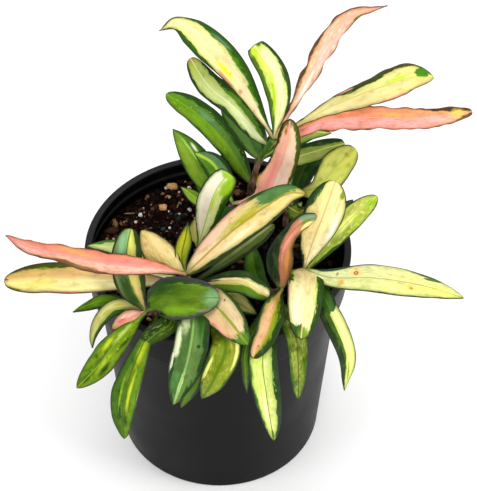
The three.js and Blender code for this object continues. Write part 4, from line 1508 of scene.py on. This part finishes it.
            peak=0.6, round=0.6, left=(1, 1, 1, 1, 1, 1, 0.98, 0.98, 1),
            right=(1, 0.9, 0.8, 0.82, 0.9, 1, 1, 1, 1), fold=0.1),
    )),
    "stem_right_front": LeafyStem((20, -22), ((22, -27, 106), (25, -30, 112)), (
        Leaf(1, ((24.5, -24.5, 121.5), (26, -20.5, 127.5), (33, -14, 133), (38.5, -11.5, 133.5)), 10.8,
             (-0.2, -1, 0.2), Look(
            left=("#a05c40", "#c48468"), right=("#b06c48", "#d09070"), fringe="#604820", rib="#a85c48",
            edge_left=(1.0, 0.95, 0.9, 0.86, 0.8, 0.66, 0.36, 0.3, 0.3),
            edge_right=(0.1, 0.2, 0.2, 0.1, 0.1), green_left=("#0c1c04", "#182e08"),
            green_right=("#9c6818", "#cc9430"), ragged=0.5,
            patches=(Patch(0.93, -0.3, 5.5, 3.2, "#6c9470", 0.4), Patch(0.87, 0.15, 4, 1.0, "#5c7c1c", 0.5),
                Patch(0.88, 0.65, 5.5, 0.9, "#f0e08c", 0.3), Patch(0.5, 0.1, 10, 1.2, "#dc8c7c", 0.9),
                Patch(0.35, 0.5, 8, 1.0, "#c8883c", 0.8))),
            peak=0.36, round=0.99, heel=0.8, fold=0.25, left=(1, 1, 1, 1, 0.8, 0.72, 0.8, 0.95, 1),
            right=(1, 1, 1, 0.95, 0.72, 0.6, 0.7, 0.95, 1)),
        Leaf(1, ((21, -46, 115), (18, -53.5, 110.5), (13.5, -60.5, 106.5)), 9.8, (0.3, -0.7, 0.8), Look(
            left=("#a09418", "#988c18"), right=("#c8a060", "#dca484"), rib="#b8984c", fringe="#747c18",
            edge_left=(0.65, 0.7, 0.7, 0.68, 0.8), edge_right=(0.4, 0.4, 0.32, 0.14, 0.08), ragged=1.1,
            blotch=0.45, green_left=("#243c08", "#5c7c10"), green_right=("#2f4c10", "#64842c"),
            patches=(Patch(0.6, -0.35, 8, 0.8, "#6c8810", 0.8),
                Patch(0.86, 0.1, 0.8, 0.8, "#8c5c2c", 0.6))),
            peak=0.5, round=1.1, fold=0.15),
        Leaf(0, ((17.5, -59.5, 104.5), (19, -66.5, 91.5), (22.3, -64, 60.3)), 11.4, OUT, Look(
            left=("#bcd060", "#dce484"), right=("#b8d458", "#dcec78"), rib="#4c5c18", rib_width=0.3,
            fringe="#84a834", edge_left=(0.4, 0.45, 0.45, 0.36, 0.4),
            edge_right=(0.15, 0.15, 0.16, 0.22, 0.3), streak="#f3f8b4", green_left=("#26441c", "#6c9448"),
            green_right=("#3c6424", "#8cb048"),
            patches=(Patch(0.7, 0.2, 14, 1.2, "#fbfba8", 0.9),
                Patch(0.94, -0.05, 6, 0.8, "#5c7c14", 0.6))),
            peak=0.5, round=0.6, fold=0.15, right=(1, 1, 1, 1, 0.95, 0.86, 0.76, 0.76, 0.8)),
        Leaf(0, ((11, -56, 106), (11, -60, 98), (11.5, -58.5, 83.5)), 4.2, OUT, Look(
            left=("#48680c", "#5c7c18"), right=("#385c08", "#4c6c0c"), rib="#6c8c28", fringe="#4c6c10",
            green_left=("#24400c", "#4c700c"), green_right=("#1c380a", "#3c600c"), blotch=0.5)),
        Leaf(0, ((30, -50.5, 107.5), (31, -56.5, 99.5), (31.5, -58, 79)), 8.2, (0.2, -1, 0.4), Look(
            left=("#647020", "#6c7c20"), right=("#60701c", "#848c30"), rib="#2f440c", rib_width=0.3,
            streak="#b0bc60", blotch=0.7, edge_left=(0.15, 0.12, 0.12, 0.35, 0.7),
            edge_right=(0.5, 0.45, 0.4, 0.45, 0.6), ragged=1.6, mottle=0.6, fringe="#6c8c24",
            green_left=("#24400c", "#4c6c14"), green_right=("#24400c", "#4c6c18")),
            peak=0.45, round=0.8, fold=0.1),
        Leaf(0, ((15.5, -20, 108), (13.5, -6, 112.5)), 8, UP, Look(
            # Its dark greens are partly its own and partly painted shade, deep under the clump
            left=("#3c640a", "#4c7c10"), right=("#24440a", "#2f540c"), rib="#4c7410", fringe="#2f540a",
            blotch=0.5)),
    )),
    "stem_right": LeafyStem((33, -14), ((33, -17, 105), (34, -20, 112)), (
        Leaf(1, ((37, -13.5, 119.5), (42, -7, 132), (46, 1, 140)), 15.6, (-0.1, -0.9, 0.5), Look(
            left=("#f4d89c", "#ecdc88"), right=("#f9f0c4", "#f6dc94"), rib="#c8a05c", rib_width=0.35,
            fringe="#bcbc58", edge_left=(0.35, 0.3, 0.12, 0.1, 0.08, 0.1, 0.4, 0.4, 0.2),
            edge_right=(0.1, 0.05, 0.04, 0.06, 0.15), green_left=("#24441c", "#5c7c3c"),
            streak="#fbdca4",
            patches=(Patch(0.97, -0.1, 3.4, 3.4, "#f6d894", 0.8),
                Patch(0.88, 0.75, 2.4, 1.2, "#84942c", 0.5), Patch(0.5, 0.75, 9, 1.6, "#f4f6dc", 0.9),
                Patch(0.6, -0.35, 1.0, 0.8, "#ecb480", 0.8), Patch(0.55, 0.2, 12, 1.6, "#f9f0a0", 0.9),
                Patch(0.75, 0.55, 5, 0.6, "#e0c468", 0.8))),
            peak=0.68, round=0.9, heel=0.3),
        Leaf(1, ((43.5, -29.5, 117.5), (60.5, -33.5, 121.5), (78, -34, 118), (95, -35.5, 112.5)), 11.9,
             (0, -0.4, 1), Look(
            left=("#d4dcb0", "#e4dc78"), right=("#d8e0a4", "#dcd868"), rib="#8c8c4c", rib_width=0.26,
            ragged=0.35, edge_left=(0.5, 0.45, 0.34, 0.1, 0.05, 0.05, 0.18, 0.12, 0.12),
            edge_right=(0.1, 0.08, 0.06, 0.08, 0.12), green_left=("#2f4c3c", "#94b498"), fringe="#dce48c",
            line="#2c3c18", streak="#f6f4a8",
            patches=(Patch(0.37, -0.35, 3.8, 3.2, "#f4cc80", 0.9),
                Patch(0.37, -0.35, 1.0, 0.8, "#8a5420", 0.15), Patch(0.37, -0.35, 0.5, 0.4, "#e8c088", 0.2),
                Patch(0.26, -0.35, 0.8, 1.2, "#b8846c", 0.6), Patch(0.29, 0.4, 2.0, 1.7, "#dcb048", 0.8),
                Patch(0.68, 0.35, 2.2, 1.6, "#dcbc50", 0.8), Patch(0.685, 0.4, 0.9, 0.8, "#a08428", 0.7),
                Patch(0.8, -0.7, 4.5, 0.6, "#4c7418", 0.3), Patch(0.85, 0.2, 9, 2.2, "#e4e86c", 0.9))),
            peak=0.5, round=0.75, heel=0.57, fold=-0.08,
            right=(1, 0.92, 0.86, 0.9, 0.96, 1, 0.95, 0.8, 0.55)),
        Leaf(1, ((34, -37.5, 118), (32, -53, 108.8)), 13.8, (0, -0.6, 0.8), Look(
            left=("#f4d494", "#f4eea8"), right=("#f6dca0", "#f9f4c4"), rib="#e8cc90", streak="#f6f0ac",
            edge_left=(0.1, 0.3, 0.42, 0.3, 0.35), edge_right=(0.55, 0.35, 0.08, 0.05, 0.5),
            fringe="#c8d85c", green_left=("#26480c", "#5c840c"), green_right=("#2c500c", "#6c941c"),
            ragged=1.1,
            patches=(Patch(0.95, 0.5, 4.4, 3.2, "#2c4c1c", 0.3), Patch(0.55, 0.97, 12, 0.6, "#f4b8a4", 0.5),
                Patch(0.95, -0.2, 4, 3, "#6c9018", 0.7))),
            peak=0.5, round=0.98, heel=1.36, left=(1.4, 1.05, 1, 1, 1), right=(1.4, 1.05, 1, 1, 1)),
        Leaf(0, ((52, -0.5, 119.5), (64, 11.5, 121.5)), 10.4, VIEWER, Look(
            left=("#88982c", "#b4b858"), right=("#788c28", "#a8b448"), rib="#a8b840", streak="#dce080",
            edge_left=(0.5, 0.2, 0.1, 0.1, 0.2), edge_right=(0.7, 0.4, 0.15, 0.12, 0.2),
            fringe="#b4cc30",
            patches=(Patch(0.6, 0.0, 9, 2.0, "#f0f084", 0.9), Patch(0.9, 0.1, 4, 2.0, "#84ac18", 0.7),
                Patch(0.55, -0.4, 2, 1.2, "#94b424", 0.7), Patch(0.68, 0.3, 2.6, 1.0, "#98b828", 0.8))),
            peak=0.6, round=0.9, right=(1, 0.92, 0.9, 0.95, 1)),
        Leaf(0, ((42, -36, 112), (45.5, -43.5, 106.5)), 7.4, VIEWER, Look(
            left=("#34601c", "#3f6c24"), right=("#2c500c", "#345c14"), rib="#4c7430", fringe="#34601c",
            green_left=("#1c340c", "#34601c"), green_right=("#1c340c", "#34601c")),
            round=0.9, heel=0.8),
        Leaf(0, ((45, 5, 113.5), (55, 18, 113)), 9, UP, Look(
            left=("#2c541c", "#264c1c"), right=("#26481c", "#1f3c14"), rib="#3c6430", fringe="#26481c"),
            round=0.6),
        Leaf(0, ((40.5, -35, 111), (46, -45, 106), (50, -51, 97), (50, -52.5, 77.5)), 8.4, (0.3, -1, 0.4),
             Look(
            left=("#fdfdb8", "#eef080"), right=("#4c6420", "#748c2c"), rib="#d0d474", fringe="#c8d458",
            edge_left=(0.05, 0.05, 0.08, 0.12, 0.3), edge_right=(1.1, 1.1, 1.05, 0.8, 0.7), ragged=0.4,
            green_right=("#1c300a", "#3c5c10"),
            patches=(Patch(0.82, -0.1, 8, 0.8, "#84a414", 0.6),)),
            peak=0.5, fold=0.2),
    )),
    "stem_right_back": LeafyStem((28, 20), ((29, 22, 105), (30, 25, 110)), (
        Leaf(1, ((29.5, 33, 119.5), (41, 36.5, 123.5), (52, 38, 126)), 8.8, VIEWER, Look(
            left=("#8ca44c", "#84a048"), right=("#a4b464", "#acb85c"), edge_left=(0.5, 0.5, 0.5, 0.6, 0.6),
            green_left=("#1c3808", "#3c6018"), edge_right=(0.25, 0.25, 0.2, 0.2, 0.3), fringe="#7c9434",
            blotch=0.5, green_right=("#2c480c", "#4c6c18")),
            round=1.3),
        Leaf(1, ((41, 22.5, 116.5), (48.5, 29, 122), (56, 33.5, 127.5)), 13.6, VIEWER, Look(
            left=("#d0d46c", "#bcc05c"), right=("#d0d464", "#c0c458"), rib="#a0a844", fringe="#989c3c",
            blotch=0.4, edge_left=(0.04,) * 5, edge_right=(0.02, 0.02, 0.04, 0.06, 0.05),
            streak="#c0c654",
            patches=(Patch(0.88, -0.05, 1.3, 1.9, "#a08c28", 0.8),
                Patch(0.5, 0.4, 1.2, 1.8, "#ac902c", 0.8), Patch(0.8, 0.3, 6, 2, "#c8c850", 0.9))),
            peak=0.6, round=1.1, left=(0.4, 0.55, 0.8, 1, 1)),
        Leaf(0, ((33, 12, 112), (35, 8, 118)), 9, VIEWER, Look(
            left=("#8c9c2c", "#7c9020"), right=("#6c8424", "#84942c"), fringe="#6c8420")),
        Leaf(0, ((37.5, 37, 116), (50, 45, 113.5)), 10.5, UP, SHADE_DARKENED_LEAF, round=0.5, heel=0.8),
    )),
}


@dataclass
class Plant:
    """The clump: every leafy stem's bark, with the blades that grow on it."""

    stem: Stem = field(default_factory=Stem)
    blade: Blade = field(default_factory=Blade)
    bark: Bark = Bark()
    seed: int = 5
    seeds: float = 50.0

    def build(self) -> None:
        """Makes every stem and its leaves. Each leaf is named for its stem, and numbered from 1."""
        bark = self.bark.material()
        rng = random.Random(self.seed)
        for name, grown in STEMS.items():
            self.stem.build(name, grown, bark)
            for number, leaf in enumerate(grown.leaves, 1):
                piece = f"{name.replace('stem', 'leaf')}_{number}"
                root = Vector(grown.nodes[leaf.node])
                self.blade.build(piece, leaf, root, rng.uniform(0, self.seeds), name)


@dataclass(frozen=True)
class Paper:
    """A roll of matt white backdrop paper, calendered but uncoated.

    It gives the eye an even pale ground with no gloss, so that only the plant's shadow shows.
    """

    name: str = "matt_backdrop_paper"
    tone: str = "#ffffff"

    def material(self) -> bpy.types.Material:
        """Makes the floor's material."""
        made, _, shader = surface(self.name)
        feed(shader, {"Base Color": self.tone, "Roughness": 0.9, "Specular IOR Level": 0.1})
        return made


@dataclass
class Studio:
    """The pale floor, the soft lights and the camera. Places are in metres.

    Each light is a square box: its name, place, side in metres and power in watts.
    """

    floor_half: float = 3.0
    lights: tuple[tuple[str, Place, float, float], ...] = (
        ("top_box", (-0.1, 0.3, 1.15), 0.9, 5.1),
        ("left_box", (-1.0, -0.45, 0.6), 0.6, 4.1),
        ("right_box", (1.0, -0.3, 0.55), 0.6, 4.4),
        ("front_box", (0.0, -1.1, 0.75), 0.7, 6.0),
        ("low_right_box", (0.6, -0.2, 0.13), 0.3, 2.3),
    )
    aim: Place = (0, 0, 0.1)
    room_tone: str = "#ffffff"
    room_light: float = 0.5
    camera_place: Place = (0.0083, -0.4495, 0.5703)
    camera_tilt: float = 44.008
    nearest: float = 0.01
    focal_pixels: float = 1600.0
    long_side: float = 491.0
    sensor: float = 36.0

    def floor(self) -> None:
        """Makes the plain pale floor that the pot stands on."""
        bm = bmesh.new()
        bmesh.ops.create_grid(bm, x_segments=1, y_segments=1, size=self.floor_half)
        placed("floor", bm, [Paper().material()])

    def light(self, name: str, place: Place, size: float, power: float) -> None:
        """Hangs a soft square light that looks at the plant.

        Args:
            name: the light's name.
            place: where it hangs.
            size: its side.
            power: its power.
        """
        data = bpy.data.lights.new(name, "AREA")
        data.shape, data.size, data.energy = "SQUARE", size, power
        lamp = bpy.data.objects.new(name, data)
        lamp.location = place
        lamp.rotation_euler = (Vector(self.aim) - Vector(place)).to_track_quat("-Z", "Y").to_euler()
        bpy.context.scene.collection.objects.link(lamp)

    def room(self) -> None:
        """Makes the white surroundings, with colours shown as they are."""
        world = bpy.data.worlds.new("white_room")
        world.use_nodes = True
        feed(world.node_tree.nodes["Background"], {"Color": self.room_tone, "Strength": self.room_light})
        bpy.context.scene.world = world
        bpy.context.scene.view_settings.view_transform = "Standard"

    def camera(self) -> None:
        """Places the camera as the photograph's was. The focal length is known in its pixels."""
        data = bpy.data.cameras.new("camera")
        data.sensor_width = self.sensor
        data.lens = self.sensor * self.focal_pixels / self.long_side
        data.clip_start = self.nearest
        camera = bpy.data.objects.new("camera", data)
        camera.location = self.camera_place
        camera.rotation_euler = (math.radians(self.camera_tilt), 0, 0)
        bpy.context.scene.collection.objects.link(camera)
        bpy.context.scene.camera = camera

    def build(self) -> None:
        """Makes the floor, the lights, the surroundings and the camera."""
        self.floor()
        for light in self.lights:
            self.light(*light)
        self.room()
        self.camera()


def main() -> None:
    """Builds the studio, the pot, the soil and the plant, and reports each piece."""
    logging.basicConfig(level=logging.INFO, format="%(message)s")
    LOG.info("the frame has %d nodes", len(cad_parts))
    for part in (Studio(), Pot(), Soil(), Plant()):
        part.build()


if __name__ == "__main__":
    main()
